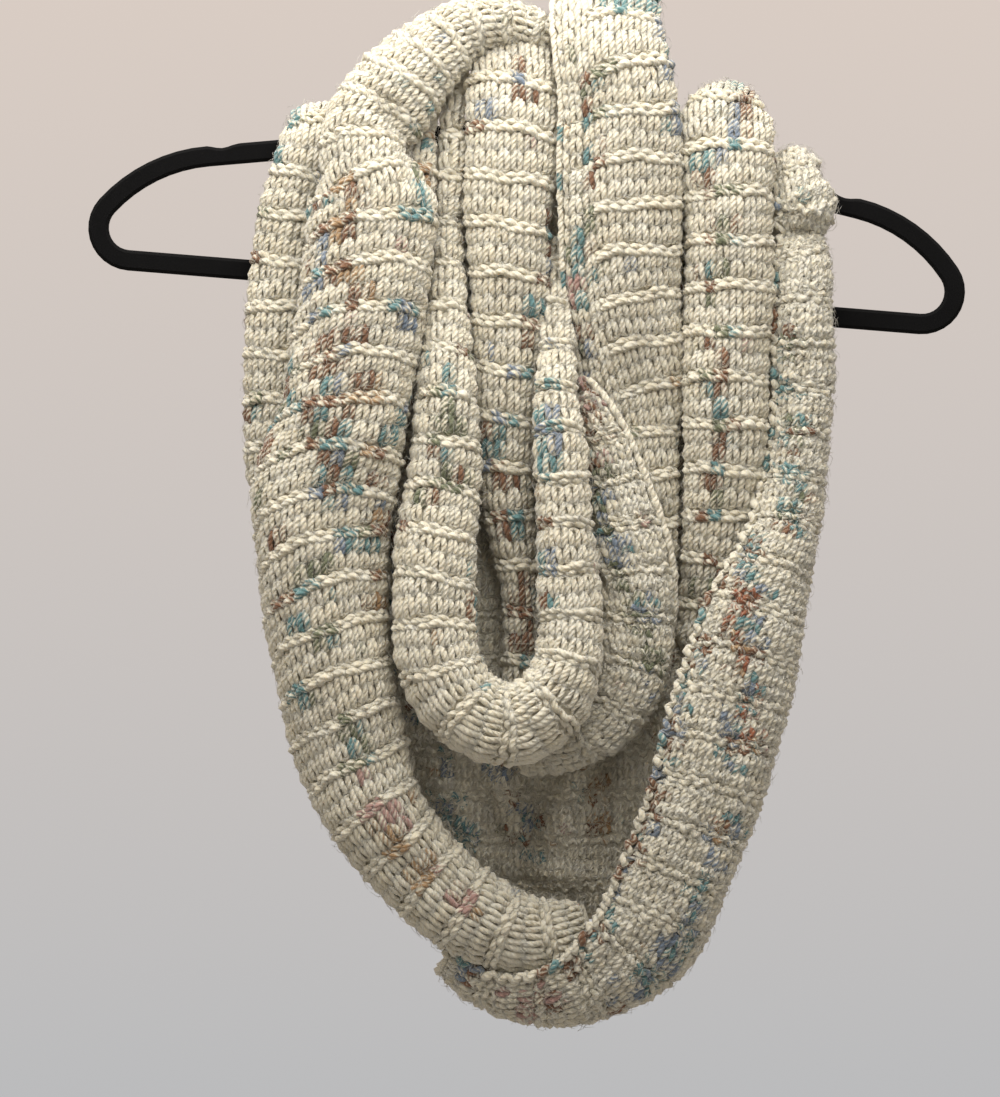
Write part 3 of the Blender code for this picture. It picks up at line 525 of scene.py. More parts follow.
class Surface:
    """A stretch laid out by the distance along it and across it, in millimetres, with its outward normals."""

    def __init__(self, name, knit):
        if name == "back_wall":
            self.lay_wall(knit.rows)
        else:
            self.lay_tube(knit.rows, neck_frames if name == "neck_pass" else front_frames, knit.datum)
        for crease in CREASES:
            if crease.stretch == name:
                self.press(crease)
        self.roughen(list(KNITS).index(name))
        self.smooth_normals()

    def lay_tube(self, rows, frames, datum):
        steps = np.linalg.norm(np.diff(np.array(rows, float)[:, :3], axis=0), axis=1)
        stations = int(steps.sum() / STEP) + 1
        row = Row(*smooth_rows(rows, stations).T)
        middles = world(row.across, row.drop, row.fore)
        outs, sides = frames(middles)
        wide, deep = (row.half_wide - CLOTH_THICK / 2)[:, None], (row.half_deep - CLOTH_THICK / 2)[:, None]
        turn = np.linspace(0.0, 1.0, AROUND)[None, :]
        angle = np.radians(row.from_deg[:, None] + (row.to_deg - row.from_deg)[:, None] * turn)
        bits = np.hypot(np.diff(wide * np.sin(angle), axis=1), np.diff(deep * np.cos(angle), axis=1))
        around = np.concatenate([np.zeros((stations, 1)), np.cumsum(bits, axis=1)], axis=1)
        if datum == "right":
            around -= around[:, -1:]
        if datum == "centre":
            around -= np.array([np.interp(0.0, angle[i], around[i]) for i in range(stations)])[:, None]
        self.low, self.high = around[:, 0], around[:, -1]
        self.first_across = math.floor(self.low.min() / STEP) * STEP - STEP
        points = int((self.high.max() - self.first_across) / STEP) + 3
        across = self.first_across + STEP * np.arange(points)
        held = np.clip(across[None, :], self.low[:, None], self.high[:, None])
        at = np.stack([np.interp(held[i], around[i], angle[i]) for i in range(stations)])
        past = (across[None, :] - held)[..., None] * MM
        sine, cosine = np.sin(at)[..., None], np.cos(at)[..., None]
        sides, outs, wide, deep = sides[:, None], outs[:, None], wide[..., None], deep[..., None]
        tangent = unit(wide * cosine * sides - deep * sine * outs)
        self.normal = unit(sine / wide * sides + cosine / deep * outs)
        self.point = middles[:, None] + (wide * sine * sides + deep * cosine * outs) * MM + past * tangent
        gaps = np.linalg.norm(np.diff(middles, axis=0), axis=1) / MM
        self.along = np.concatenate([[0.0], np.cumsum(gaps)])

    def lay_wall(self, rows):
        table = Level(*np.array(rows, float).T)
        stations = int((table.drop[-1] - table.drop[0]) / STEP) + 1
        drop = np.linspace(table.drop[0], table.drop[-1], stations)[:, None]
        level = Level(drop, *(np.interp(drop, table.drop, column) for column in table[1:]))
        self.low, self.high = level.left[:, 0], level.right[:, 0]
        self.first_across = math.floor(self.low.min() / STEP) * STEP - STEP
        points = int((self.high.max() - self.first_across) / STEP) + 3
        across = np.broadcast_to(self.first_across + STEP * np.arange(points), (stations, points))
        wave = np.cos(2 * math.pi * (across - BACK_FOLD_AT) / BACK_FOLD_SPACING)
        self.point = world(across, np.broadcast_to(drop, across.shape), level.fore + level.fold * wave)
        self.normal = np.zeros_like(self.point)
        self.normal[..., 1] = -1.0
        self.along = drop[:, 0] - drop[0, 0]

    def press(self, crease):
        """Press a trough into the front of the cloth."""
        heading = math.radians(crease.heading)
        right = self.point[..., 0] / MM - crease.across
        down = -self.point[..., 2] / MM - crease.drop
        run = right * math.cos(heading) + down * math.sin(heading)
        off = down * math.cos(heading) - right * math.sin(heading)
        taper = np.clip(1.0 - (2.0 * run / crease.length) ** 2, 0.0, 1.0)
        front = np.clip(-self.normal[..., 1], 0.0, 1.0)
        depth = crease.depth * np.exp(-((off / crease.width) ** 2)) * taper * front
        self.point = self.point - self.normal * depth[..., None] * MM

    def roughen(self, number):
        """Make the cloth a little uneven all over, as hanging cloth is."""
        across = self.first_across + STEP * np.arange(self.point.shape[1])[None, :]
        along = self.along[:, None]
        swell = np.sin(along / 11.0 + 0.05 * across + number) * np.sin(across / 9.0 + 0.4 * number)
        swell = swell + np.sin(along / 19.0 - across / 13.0 + 2.0 * number)
        self.point = self.point + self.normal * (WAVER * swell)[..., None] * MM

    def smooth_normals(self):
        """Take the normals from the pressed surface, and keep the plain ones where it has no width."""
        down, right = np.gradient(self.point, axis=0), np.gradient(self.point, axis=1)
        made = np.cross(down, right)
        size = np.linalg.norm(made, axis=-1, keepdims=True)
        made = np.where(size > 1e-12, made / np.maximum(size, 1e-12), self.normal)
        turned = np.sum(made * self.normal, axis=-1, keepdims=True)
        self.normal = unit(np.where(turned < 0, -made, made) + 0.5 * self.normal)

    @property
    def length(self):
        return self.along[-1]

    def edges(self, along):
        """Where the strip's left and right edges are, at distances along it."""
        return np.interp(along, self.along, self.low), np.interp(along, self.along, self.high)

    def place(self, along, across):
        """The point and the outward normal at distances along and across, past the edges too."""
        i = np.clip(np.searchsorted(self.along, along) - 1, 0, len(self.along) - 2)
        f = ((along - self.along[i]) / (self.along[i + 1] - self.along[i]))[..., None]
        j = (across - self.first_across) / STEP
        k = np.clip(np.floor(j).astype(int), 0, self.point.shape[1] - 2)
        g = (j - k)[..., None]
        found = []
        for grid in (self.point, self.normal):
            top = grid[i, k] * (1 - g) + grid[i, k + 1] * g
            foot = grid[i + 1, k] * (1 - g) + grid[i + 1, k + 1] * g
            found.append(top * (1 - f) + foot * f)
        return found[0], unit(found[1])


# ---------------------------------------------------------------- yarn
SIDES = 5                  # of a yarn's tube
PIECES = 8                 # that one loop of yarn is bent from
PLAIN = {"back_wall": (4, 6), "neck_pass": (4, 6)}     # the same, for the stretches at the back
HOOK_REACH = 9.0           # over which rows turn down beside an edge
DYE_REACH = 7.0            # how near a row passes to a run of colour for it to take the dye
CORD_STEP = 1.6            # between the points of a finishing cord
CORD_IN = 2.0              # from the strip's edge to its cord
CORD_LIFT = 2.2            # of the cord off the cloth
CORD_WAVE = 6.2            # from one swing of the cord to the next
KNOT_APART = 11.5
KNOT_LONG = 2.2
CORD_DYE = 5               # points in a dyed length of cord
FIBRE_THICK = (0.14, 0.12, 0.06)     # where a loose fibre leaves the yarn, along it and at its tip
BACKING_EVERY = 3          # stations of the surface to one of the backing's
BACKING_POINTS = 37        # across the backing
BACKING_INSET = 1.4        # of the backing behind the yarn's own level

Strand = namedtuple("Strand", "point normal radius colour tone")


def loop_shape(kind, height, pieces):
    """One loop, by its share across, its height along and its height out, in millimetres."""
    turn = np.arange(pieces) * 2 * math.pi / pieces
    lean, tall, deep = {
        "tall": (0.215, 0.66, 1.25),
        "short": (0.22, 0.80, 1.0),
        "bumps": (0.20, 0.78, -1.3),
    }[kind]
    share = turn / (2 * math.pi) + lean * np.sin(2 * turn)
    return share, -np.cos(turn) * tall * height, -deep * np.cos(2 * turn)


def braid_shapes(height, pieces):
    """The two cords of a raised roll, a thick one below a thinner, drawn in a little at each stitch."""
    share = np.arange(pieces) / pieces
    pinch = np.cos(2 * math.pi * share)
    yield share, 0.20 * height + 0.40 * pinch, 0.6 - 0.55 * pinch, 1.08
    yield share, -0.24 * height - 0.50 * pinch, -0.2 + 0.50 * pinch, 1.0


def row_shapes(kind, height, pieces):
    """Each cord of a row, with its thickness against the yarn's."""
    if kind == "braid":
        return list(braid_shapes(height, pieces))
    return [(*loop_shape(kind, height, pieces), 1.0)]


def courses(knit, length):
    """Each row of stitches in a stretch: how far along it lies, its height and its kind."""
    share, slant, bow, repeat = np.array(knit.lay).T
    at, rows = knit.first - 3.0 * repeat[0], []
    while at < length + 2.0 * repeat[-1]:
        spacing = float(np.interp(at / length, share, repeat))
        for band in knit.side:
            height = band.share * spacing
            rows.append((at, height, band.kind))
            at += height
    return rows


def runs_of(kept):
    """The first and last of each unbroken run of kept stitches."""
    marks = np.flatnonzero(np.diff(np.concatenate([[0], kept.astype(int), [0]])))
    return list(zip(marks[::2], marks[1::2]))


def dyed(name, point, kind, chance):
    """The colour of each stitch in a row, with its strength."""
    likely = ROW_SHARES.get(kind, 1.0)
    colours = bpy.context.scene.scarf_colours
    stitch = bpy.context.scene.scarf_sizes.stitch_wide / MM
    flat = np.stack([point[:, 0], -point[:, 2]], axis=-1) / MM
    place = np.arange(len(point))
    made = np.zeros((len(point), 4))
    for run in RUNS:
        if run.stretch != name:
            continue
        line = np.array(run.line, float)
        near = np.full(len(point), 1e9)
        for a, b in zip(line[:-1], line[1:]):
            share = np.clip(((flat - a) @ (b - a)) / ((b - a) @ (b - a)), 0, 1)[:, None]
            near = np.minimum(near, np.linalg.norm(flat - a - share * (b - a), axis=1))
        middle = np.argmin(near) + chance.normal(0.0, 0.5 * run.reach / stitch)
        half = chance.uniform(0.7, 1.6)
        pick = chance.integers(len(run.colours), size=len(point))
        pick = np.where(chance.random(len(point)) < 0.45, pick, pick[0])
        colour = np.array([tuple(getattr(colours, run.colours[i])) for i in pick])
        if near.min() > DYE_REACH or chance.random() > run.share * likely:
            continue
        strength = np.clip(2.2 * (1.0 - np.abs(place - middle) / half), 0.0, 1.0) * chance.uniform(0.75, 1.15)
        hit = strength > made[:, 3]
        made[hit, :3], made[hit, 3] = colour[hit], strength[hit]
    stray = (made[:, 3] == 0) & (chance.random(len(point)) < STRAY_SHARE)
    for i in np.flatnonzero(stray):
        made[i, :3] = getattr(colours, ("teal", "blue", "tan", "pink", "sage")[chance.integers(5)])
        made[i, 3] = chance.uniform(0.3, 0.6)
    return made


def knit_strands(name, surface, knit, chance):
    """The yarn of a stretch, row after row."""
    sizes = bpy.context.scene.scarf_sizes
    wide, radius = sizes.stitch_wide / MM, sizes.yarn_thick / 2
    share, slant, bow, _ = np.array(knit.lay).T
    first, last = math.floor(surface.low.min() / wide), math.ceil(surface.high.max() / wide)
    column = np.arange(first, last)
    middle = (column + 0.5) * wide
    pieces = PLAIN.get(name, (SIDES, PIECES))[1]
    strands = []
    for at, height, kind in courses(knit, surface.length):
        tilt = np.interp(at / surface.length, share, slant)
        curl = np.interp(at / surface.length, share, bow)

        def sloped(across):
            wander = 0.9 * np.sin(across * 0.13 + at * 0.7) + 0.55 * np.sin(across * 0.31 - at * 0.31)
            inward = np.maximum(np.abs(across) - 0.6 * knit.plain * wide, 0.0)
            turned = knit.hook * np.exp(-inward / HOOK_REACH)
            return at - tilt * across + curl * across**2 + wander + turned

        along = sloped(middle)
        low, high = surface.edges(along)
        kept = (along > 0.2 * height) & (along < surface.length - 0.2 * height)
        kept &= (middle - 0.35 * wide > low) & (middle + 0.35 * wide < high)
        plain = kept & (np.abs(column + 0.5) < knit.plain) & (kind == "braid")
        lots = [(kind, *ends) for ends in runs_of(kept & ~plain)]
        lots += [("tall", *ends) for ends in runs_of(plain)]
        for form, a, b in lots:
            spot, _ = surface.place(along[a:b], middle[a:b])
            dye = dyed(name, spot, form, chance)
            proud = knit.ridge * sizes.braid_proud / MM if form == "braid" else 0.0
            for part, rise, out, stout in row_shapes(form, height, pieces):
                count = b - a
                jog = chance.normal(0.0, knit.rough, (3, count, 1))
                across = (column[a:b, None] + part[None, :] + 0.03 * jog[0]) * wide
                lift = (rise[None, :] * (1.0 + 0.06 * jog[1])).ravel()
                over = (out[None, :] * (1.0 + 0.12 * jog[2]) + proud * (1.0 + 0.25 * jog[2])).ravel()
                turn = 2 * math.pi * (np.arange(pieces)[None, :] / pieces + chance.random((count, 1)))
                colour = np.repeat(dye, pieces, axis=0)
                colour[:, 3] *= (0.70 + 0.42 * np.sin(turn)).ravel()
                across = across.ravel()
                point, normal = surface.place(sloped(across) + lift, across)
                point = point + normal * over[:, None] * MM
                thick = radius * stout * (1.0 + 0.07 * np.repeat(jog[1, :, 0], pieces))
                tone = np.repeat(chance.random(count), pieces)
                strands.append(Strand(point, normal, thick, colour, tone))
    return strands


def edge_strands(name, surface, chance):
    """The finishing cords of a stretch's edges."""
    sizes, colours = bpy.context.scene.scarf_sizes, bpy.context.scene.scarf_colours
    strands = []
    for edge in EDGES:
        if edge.stretch != name:
            continue
        along = np.arange(4.0, surface.length - 4.0, CORD_STEP)
        low, high = surface.edges(along)
        swing = edge.swing * np.sin(along * 2 * math.pi / CORD_WAVE + 0.8 * np.sin(along * 0.11))
        across = (low + CORD_IN if edge.side == "left" else high - CORD_IN) + swing
        point, normal = surface.place(along, across)
        past = (along + 3.0 * np.sin(0.13 * along)) % KNOT_APART
        knot = np.exp(-(((past - KNOT_APART / 2) / KNOT_LONG) ** 2))
        lift = CORD_LIFT + 0.7 * edge.swing * (knot + 0.5 * np.cos(along * 2 * math.pi / CORD_WAVE))
        uneven = 1.0 + 0.10 * np.sin(along * 0.9) + 0.08 * np.sin(along * 0.37)
        radius = sizes.yarn_thick / 2 * edge.stout * uneven * (1.0 + 0.22 * knot * min(edge.swing, 1.0))
        colour = np.zeros((len(along), 4))
        for first in range(0, len(along), CORD_DYE):
            if chance.random() < edge.share:
                pick = edge.colours[chance.integers(len(edge.colours))]
                colour[first:first + CORD_DYE, :3] = tuple(getattr(colours, pick))
                colour[first:first + CORD_DYE, 3] = chance.uniform(0.7, 1.0)
        tone = np.full(len(along), 0.3)
        strands.append(Strand(point + normal * lift[:, None] * MM, normal, radius, colour, tone))
    return strands


def halo_strands(name, surface, chance):
    """Loose fibres that stand off the yarn, one for every patch of cloth."""
    count = int(bpy.context.scene.scarf_sizes.halo_fibres * CUTS[name].width * CUTS[name].length)
    along = chance.uniform(2.0, surface.length - 2.0, count)
    low, high = surface.edges(along)
    across = low + (high - low) * chance.random(count)
    heading = chance.uniform(0.0, 2 * math.pi, count)
    length = chance.uniform(4.0, 9.0, count)
    rise = chance.uniform(0.4, 3.4, count)
    strands = []
    for share, lift in ((0.0, 0.0), (0.45, 0.75), (1.0, 1.0)):
        a = np.clip(along + share * length * np.sin(heading), 0.5, surface.length - 0.5)
        point, normal = surface.place(a, across + share * length * np.cos(heading))
        strands.append((point + normal * (1.6 + lift * rise[:, None]) * MM, normal))
    route = np.stack([point for point, _ in strands], axis=1)
    out = np.stack([normal for _, normal in strands], axis=1)
    thick = np.array(FIBRE_THICK) * MM
    tone = chance.random(count)
    return [Strand(route[i], out[i], thick, np.zeros((3, 4)), np.full(3, tone[i])) for i in range(count)]


def yarn_mesh(name, strands, sides=SIDES):
    """Every strand as a closed tube, in one mesh, with its length in stitches and its girth as UVs."""
    strands = [s for s in strands if len(s.point) > 2]
    point, normal = np.concatenate([s.point for s in strands]), np.concatenate([s.normal for s in strands])
    radius = np.concatenate([s.radius for s in strands])
    colour, tone = np.concatenate([s.colour for s in strands]), np.concatenate([s.tone for s in strands])
    counts = np.array([len(s.point) for s in strands])
    starts = np.concatenate([[0], np.cumsum(counts)[:-1]])
    owner = np.repeat(np.arange(len(strands)), counts)
    ahead = np.minimum(np.arange(len(point)) + 1, (starts + counts - 1)[owner])
    behind = np.maximum(np.arange(len(point)) - 1, starts[owner])
    way = unit(point[ahead] - point[behind])
    side = unit(np.cross(way, normal))
    up = np.cross(side, way)
    turn = 2 * math.pi * np.arange(sides) / sides + math.pi / 2
    ring = np.cos(turn)[None, :, None] * side[:, None] + np.sin(turn)[None, :, None] * up[:, None]
    corners = point[:, None] + ring * radius[:, None, None]

    here = np.flatnonzero(owner[:-1] == owner[1:])[:, None]
    j = np.arange(sides)[None, :]
    k = (j + 1) % sides
    this, following = here * sides, (here + 1) * sides
    quads = np.stack([this + j, following + j, following + k, this + k], axis=-1)
    heads = starts[:, None] * sides + j
    tails = (starts + counts - 1)[:, None] * sides + j[:, ::-1]
    loops = np.concatenate([quads.ravel(), heads.ravel(), tails.ravel()])
    quad_count, cap_count = quads.shape[0] * sides, 2 * len(strands)
    begins = np.concatenate([4 * np.arange(quad_count), 4 * quad_count + sides * np.arange(cap_count)])

    step = np.linalg.norm(np.diff(point, axis=0, prepend=point[:1]), axis=1)
    reach = np.cumsum(step) / bpy.context.scene.scarf_sizes.stitch_wide
    start, end = reach[here[:, 0]], reach[here[:, 0] + 1]
    u = np.stack([start, end, end, start], axis=-1)
    u = np.repeat(u[:, None, :], sides, axis=1)
    v = np.stack([j, j, j + 1, j + 1], axis=-1) / sides * np.ones((quads.shape[0], 1, 1))
    uv = np.zeros((len(loops), 2), np.float32)
    uv[:quads.size, 0], uv[:quads.size, 1] = u.ravel(), v.ravel()

    mesh = bpy.data.meshes.new(name)
    mesh.vertices.add(corners.shape[0] * sides)
    mesh.vertices.foreach_set("co", corners.astype(np.float32).ravel())
    mesh.loops.add(len(loops))
    mesh.loops.foreach_set("vertex_index", loops.astype(np.int32))
    mesh.polygons.add(len(begins))
    mesh.polygons.foreach_set("loop_start", begins.astype(np.int32))
    mesh.update(calc_edges=True)
    mesh.validate()
    mesh.uv_layers.new(name="yarn").data.foreach_set("uv", uv.ravel())
    dye = mesh.attributes.new("dye", "FLOAT_COLOR", "POINT")
    dye.data.foreach_set("color", np.repeat(colour, sides, axis=0).astype(np.float32).ravel())
    shade = mesh.attributes.new("tone", "FLOAT", "POINT")
    shade.data.foreach_set("value", np.repeat(tone, sides).astype(np.float32))
    mesh.shade_smooth()
    return mesh


def backing_mesh(name, surface, inset):
    """The thin cloth under the yarn, with millimetres across and along it as UVs."""
    stations = np.arange(0, len(surface.along), BACKING_EVERY)
    stations = np.unique(np.append(stations, len(surface.along) - 1))
    share = np.linspace(0.0, 1.0, BACKING_POINTS)[None, :]
    low, high = surface.low[stations, None], surface.high[stations, None]
    across = low + (high - low) * share
    along = np.repeat(surface.along[stations, None], BACKING_POINTS, axis=1)
    point, normal = surface.place(along, across)
    point = point - normal * inset * MM
    rows, columns = point.shape[:2]
    index = np.arange(rows * columns).reshape(rows, columns)
    quads = np.stack([index[:-1, :-1], index[1:, :-1], index[1:, 1:], index[:-1, 1:]], axis=-1).reshape(-1, 4)
    mesh = bpy.data.meshes.new(name)
    mesh.from_pydata(point.reshape(-1, 3).tolist(), [], quads.tolist())
    layer = mesh.uv_layers.new(name="cloth")
    flat = np.stack([across, along], axis=-1).reshape(-1, 2)[quads.ravel()] * MM
    layer.data.foreach_set("uv", flat.astype(np.float32).ravel())
    mesh.shade_smooth()
    return mesh


# ---------------------------------------------------------------- materials
def new_material(name, colour, roughness):
    material = bpy.data.materials.new(name)
    material.use_nodes = True
    shader = material.node_tree.nodes["Principled BSDF"]
    shader.inputs["Base Color"].default_value = (*colour, 1.0)
    shader.inputs["Roughness"].default_value = roughness
    return material, material.node_tree, shader


def math_node(tree, operation, first, second=None, third=None):
    node = tree.nodes.new("ShaderNodeMath")
    node.operation = operation
    for socket, value in zip(node.inputs, (first, second, third)):
        if value is None:
            continue
        if isinstance(value, (int, float)):
            socket.default_value = value
        else:
            tree.links.new(value, socket)
    return node.outputs[0]


def noise_node(tree, vector, scale, detail=3.0):
    node = tree.nodes.new("ShaderNodeTexNoise")
    node.inputs["Scale"].default_value = scale
    node.inputs["Detail"].default_value = detail
    tree.links.new(vector, node.inputs["Vector"])
    return node.outputs["Fac"]


def mix_node(tree, factor, first, second):
    node = tree.nodes.new("ShaderNodeMix")
    node.data_type = "RGBA"
    for name, value in (("Factor_Float", factor), ("A_Color", first), ("B_Color", second)):
        socket = next(s for s in node.inputs if s.identifier == name)
        if isinstance(value, (int, float)):
            socket.default_value = value
        elif isinstance(value, tuple):
            socket.default_value = (*value, 1.0)
        else:
            tree.links.new(value, socket)
    return next(s for s in node.outputs if s.identifier == "Result_Color")


def raise_bumps(tree, shader, height, strength, distance):
    bump = tree.nodes.new("ShaderNodeBump")
    bump.inputs["Strength"].default_value = strength
    bump.inputs["Distance"].default_value = distance
    tree.links.new(height, bump.inputs["Height"])
    tree.links.new(bump.outputs["Normal"], shader.inputs["Normal"])


def range_node(tree, value, low, high):
    """How far a value is from low to high, from 0 to 1."""
    node = tree.nodes.new("ShaderNodeMapRange")
    node.inputs["From Min"].default_value = low
    node.inputs["From Max"].default_value = high
    tree.links.new(value, node.inputs["Value"])
    return node.outputs[0]


def yarn_material():
    """Cream yarn with its plies, its loose fibres, its soft sheen and its dyed lengths."""
    colours = bpy.context.scene.scarf_colours
    material, tree, shader = new_material("Speckled yarn", colours.cream, 0.95)
    place = tree.nodes.new("ShaderNodeTexCoord")
    tone = tree.nodes.new("ShaderNodeAttribute")
    tone.attribute_name = "tone"
    dye = tree.nodes.new("ShaderNodeAttribute")
    dye.attribute_name = "dye"
    split = tree.nodes.new("ShaderNodeSeparateXYZ")
    tree.links.new(place.outputs["UV"], split.inputs[0])
    cloud = noise_node(tree, place.outputs["Object"], 260.0)
    grain = noise_node(tree, place.outputs["Object"], 900.0)

    plies = math_node(tree, "MULTIPLY_ADD", split.outputs["X"], 2.2, 0.0)
    plies = math_node(tree, "MULTIPLY_ADD", split.outputs["Y"], 3.0, plies)
    wave = math_node(tree, "SINE", math_node(tree, "MULTIPLY", plies, 2 * math.pi))

    warm = tuple(c * k for c, k in zip(colours.cream, (0.90, 0.84, 0.72)))
    shade = math_node(tree, "MULTIPLY_ADD", tone.outputs["Fac"], 0.35, 0.05)
    shade = math_node(tree, "MULTIPLY_ADD", cloud, 0.35, shade)
    cream = mix_node(tree, shade, tuple(colours.cream), warm)
    level = math_node(tree, "MULTIPLY_ADD", dye.outputs["Alpha"], 0.9, -0.60)
    level = math_node(tree, "MULTIPLY_ADD", wave, 0.30, level)
    level = math_node(tree, "MULTIPLY_ADD", grain, 1.0, level)
    strength = range_node(tree, level, 0.0, 0.65)
    edge = math_node(tree, "MINIMUM", math_node(tree, "MULTIPLY", dye.outputs["Alpha"], 4.0), 1.0)
    taken = math_node(tree, "MULTIPLY", strength, edge)
    tree.links.new(mix_node(tree, taken, cream, dye.outputs["Color"]), shader.inputs["Base Color"])

    height = math_node(tree, "MULTIPLY_ADD", grain, 1.0, math_node(tree, "MULTIPLY", wave, 0.55))
    raise_bumps(tree, shader, height, 0.65, 0.0009)
    shader.inputs["Sheen Weight"].default_value = 0.35
    shader.inputs["Sheen Roughness"].default_value = 0.5
    shader.inputs["Subsurface Weight"].default_value = 0.5
    shader.inputs["Subsurface Radius"].default_value = (1.0, 0.9, 0.75)
    shader.inputs["Subsurface Scale"].default_value = 0.0024
    return material


def shaded_backing_material():
    """The cloth seen between the yarns, a darker cream as painted shade of them, mottled at random."""
    colours = bpy.context.scene.scarf_colours
    material, tree, shader = new_material("Cloth between the stitches", colours.hollow_painted_shade, 0.95)
    place = tree.nodes.new("ShaderNodeTexCoord")
    grain = noise_node(tree, place.outputs["UV"], 420.0)
    dark = tuple(c * 0.65 for c in colours.hollow_painted_shade)
    tree.links.new(mix_node(tree, grain, dark, tuple(colours.hollow_painted_shade)), shader.inputs["Base Color"])
    raise_bumps(tree, shader, grain, 0.8, 0.0008)
    shader.inputs["Sheen Weight"].default_value = 0.2
    return material


def flock_material():
    """Short dense flocking, black, with a grey bloom where it is seen edge on."""
    finish = bpy.context.scene.hanger_finish
    material, tree, shader = new_material("Black flocking", finish.flock, 0.9)
    place = tree.nodes.new("ShaderNodeTexCoord")
    pile = noise_node(tree, place.outputs["Object"], 2600.0, 2.0)
    wear = noise_node(tree, place.outputs["Object"], 60.0, 2.0)
    worn = tuple(c * 1.6 + 0.001 for c in finish.flock)
    tree.links.new(mix_node(tree, wear, tuple(finish.flock), worn), shader.inputs["Base Color"])
    raise_bumps(tree, shader, pile, 0.5, 0.0003)
    shader.inputs["Sheen Weight"].default_value = 0.03
    shader.inputs["Sheen Roughness"].default_value = 0.35
    shader.inputs["Specular IOR Level"].default_value = 0.15
    return material


def steel_material():
    """Bright bent wire, its gloss a little uneven."""
    finish = bpy.context.scene.hanger_finish
    material, tree, shader = new_material("Bright wire", finish.steel, 0.22)
    shader.inputs["Metallic"].default_value = 1.0
    place = tree.nodes.new("ShaderNodeTexCoord")
    wear = noise_node(tree, place.outputs["Object"], 300.0, 2.0)
    gloss = math_node(tree, "MULTIPLY_ADD", wear, 0.18, 0.14)
    tree.links.new(gloss, shader.inputs["Roughness"])
    return material


def material_named(name, maker):
    return bpy.data.materials.get(name) or maker()


# ---------------------------------------------------------------- building
def add_object(name, mesh, material):
    made = bpy.data.objects.new(name, mesh)
    bpy.context.scene.collection.objects.link(made)
    mesh.materials.append(material)
    return made


def knit_stretch(name):
    """The backing and the yarn of one stretch, in the place of its solid."""
    knit = KNITS[name]
    chance = np.random.default_rng([SEED, list(KNITS).index(name)])
    surface = Surface(name, knit)
    backing = material_named("Cloth between the stitches", shaded_backing_material)
    yarn = material_named("Speckled yarn", yarn_material)

    # The backing sheet closes the gaps between the stitches, and its darker colour is painted shade.
    inset = 0.0 if name == "back_wall" else BACKING_INSET
    cloth = add_object(f"{name}_cloth", backing_mesh(f"{name}_cloth", surface, inset), backing)
    thick = cloth.modifiers.new("Thickness", "SOLIDIFY")
    thick.thickness = bpy.context.scene.scarf_sizes.backing_thick
    thick.offset = 0.0
    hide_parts(*SOLIDS.get(name, (name,)))
    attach(cloth, BODY)

    strands = knit_strands(name, surface, knit, chance) + edge_strands(name, surface, chance)
    sides = PLAIN.get(name, (SIDES, PIECES))[0]
    stitches = add_object(f"{name}_stitches", yarn_mesh(f"{name}_stitches", strands, sides), yarn)
    halo = halo_strands(name, surface, chance)
    fibres = add_object(f"{name}_fibres", yarn_mesh(f"{name}_fibres", halo, 3), yarn)
    for made in (stitches, fibres):
        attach(made, BODY)


class SCARF_OT_big_loop(bpy.types.Operator):
    """Knit the big loop: its left side, its right side and its pass behind the neck."""

    bl_idname = "scarf.big_loop"
    bl_label = "Big loop"

    def execute(self, context):
        for name in BIG_LOOP:
            knit_stretch(name)
        return {"FINISHED"}


class SCARF_OT_inner_loops(bpy.types.Operator):
    """Knit the two loops that hang inside the big one."""

    bl_idname = "scarf.inner_loops"
    bl_label = "Inner loops"

    def execute(self, context):
        for name in INNER_LOOPS:
            knit_stretch(name)
        return {"FINISHED"}


class SCARF_OT_front_folds(bpy.types.Operator):
    """Knit the folds that lie over the hanger's arms."""

    bl_idname = "scarf.front_folds"
    bl_label = "Front folds"

    def execute(self, context):
        for name in FRONT_FOLDS:
            knit_stretch(name)
        return {"FINISHED"}


class SCARF_OT_back_wall(bpy.types.Operator):
    """Knit the back of the wrap, seen between the loops."""

    bl_idname = "scarf.back_wall"
    bl_label = "Back wall"

    def execute(self, context):
        knit_stretch("back_wall")
        return {"FINISHED"}


class SCARF_OT_hanger(bpy.types.Operator):
    """Finish the hanger: flocking on the frame and its collar, bright wire for the hook."""

    bl_idname = "scarf.hanger"
    bl_label = "Hanger"

    def execute(self, context):
        flock = material_named("Black flocking", flock_material)
        steel = material_named("Bright wire", steel_material)
        finishes = {"hanger_frame": flock, "hook_collar": flock, "hanger_hook": steel}
        for name, material in finishes.items():
            solid = bpy.data.objects[name]
            solid.data.materials.clear()
            solid.data.materials.append(material)
        return {"FINISHED"}


FRONT_ROOM = ((0.04, 0.038, 0.036), (0.50, 0.47, 0.43))     # in front of the scarf, low down and high up
BACK_ROOM = ((0.49, 0.495, 0.505), (0.70, 0.61, 0.55))       # behind it, low down and high up
KEY_PLACE = (-0.08, -0.36, 0.40)
FILL_PLACE = (1.6, -1.4, 0.1)


def add_floor():
    bpy.ops.object.select_all(action="DESELECT")
    bpy.ops.mesh.primitive_plane_add(size=14.0, location=(0.0, 0.0, FLOOR))
    floor = bpy.context.object
    floor.name = "Studio floor"
    paint, _, _ = new_material("Pale floor", (0.58, 0.58, 0.56), 0.9)
    floor.data.materials.append(paint)


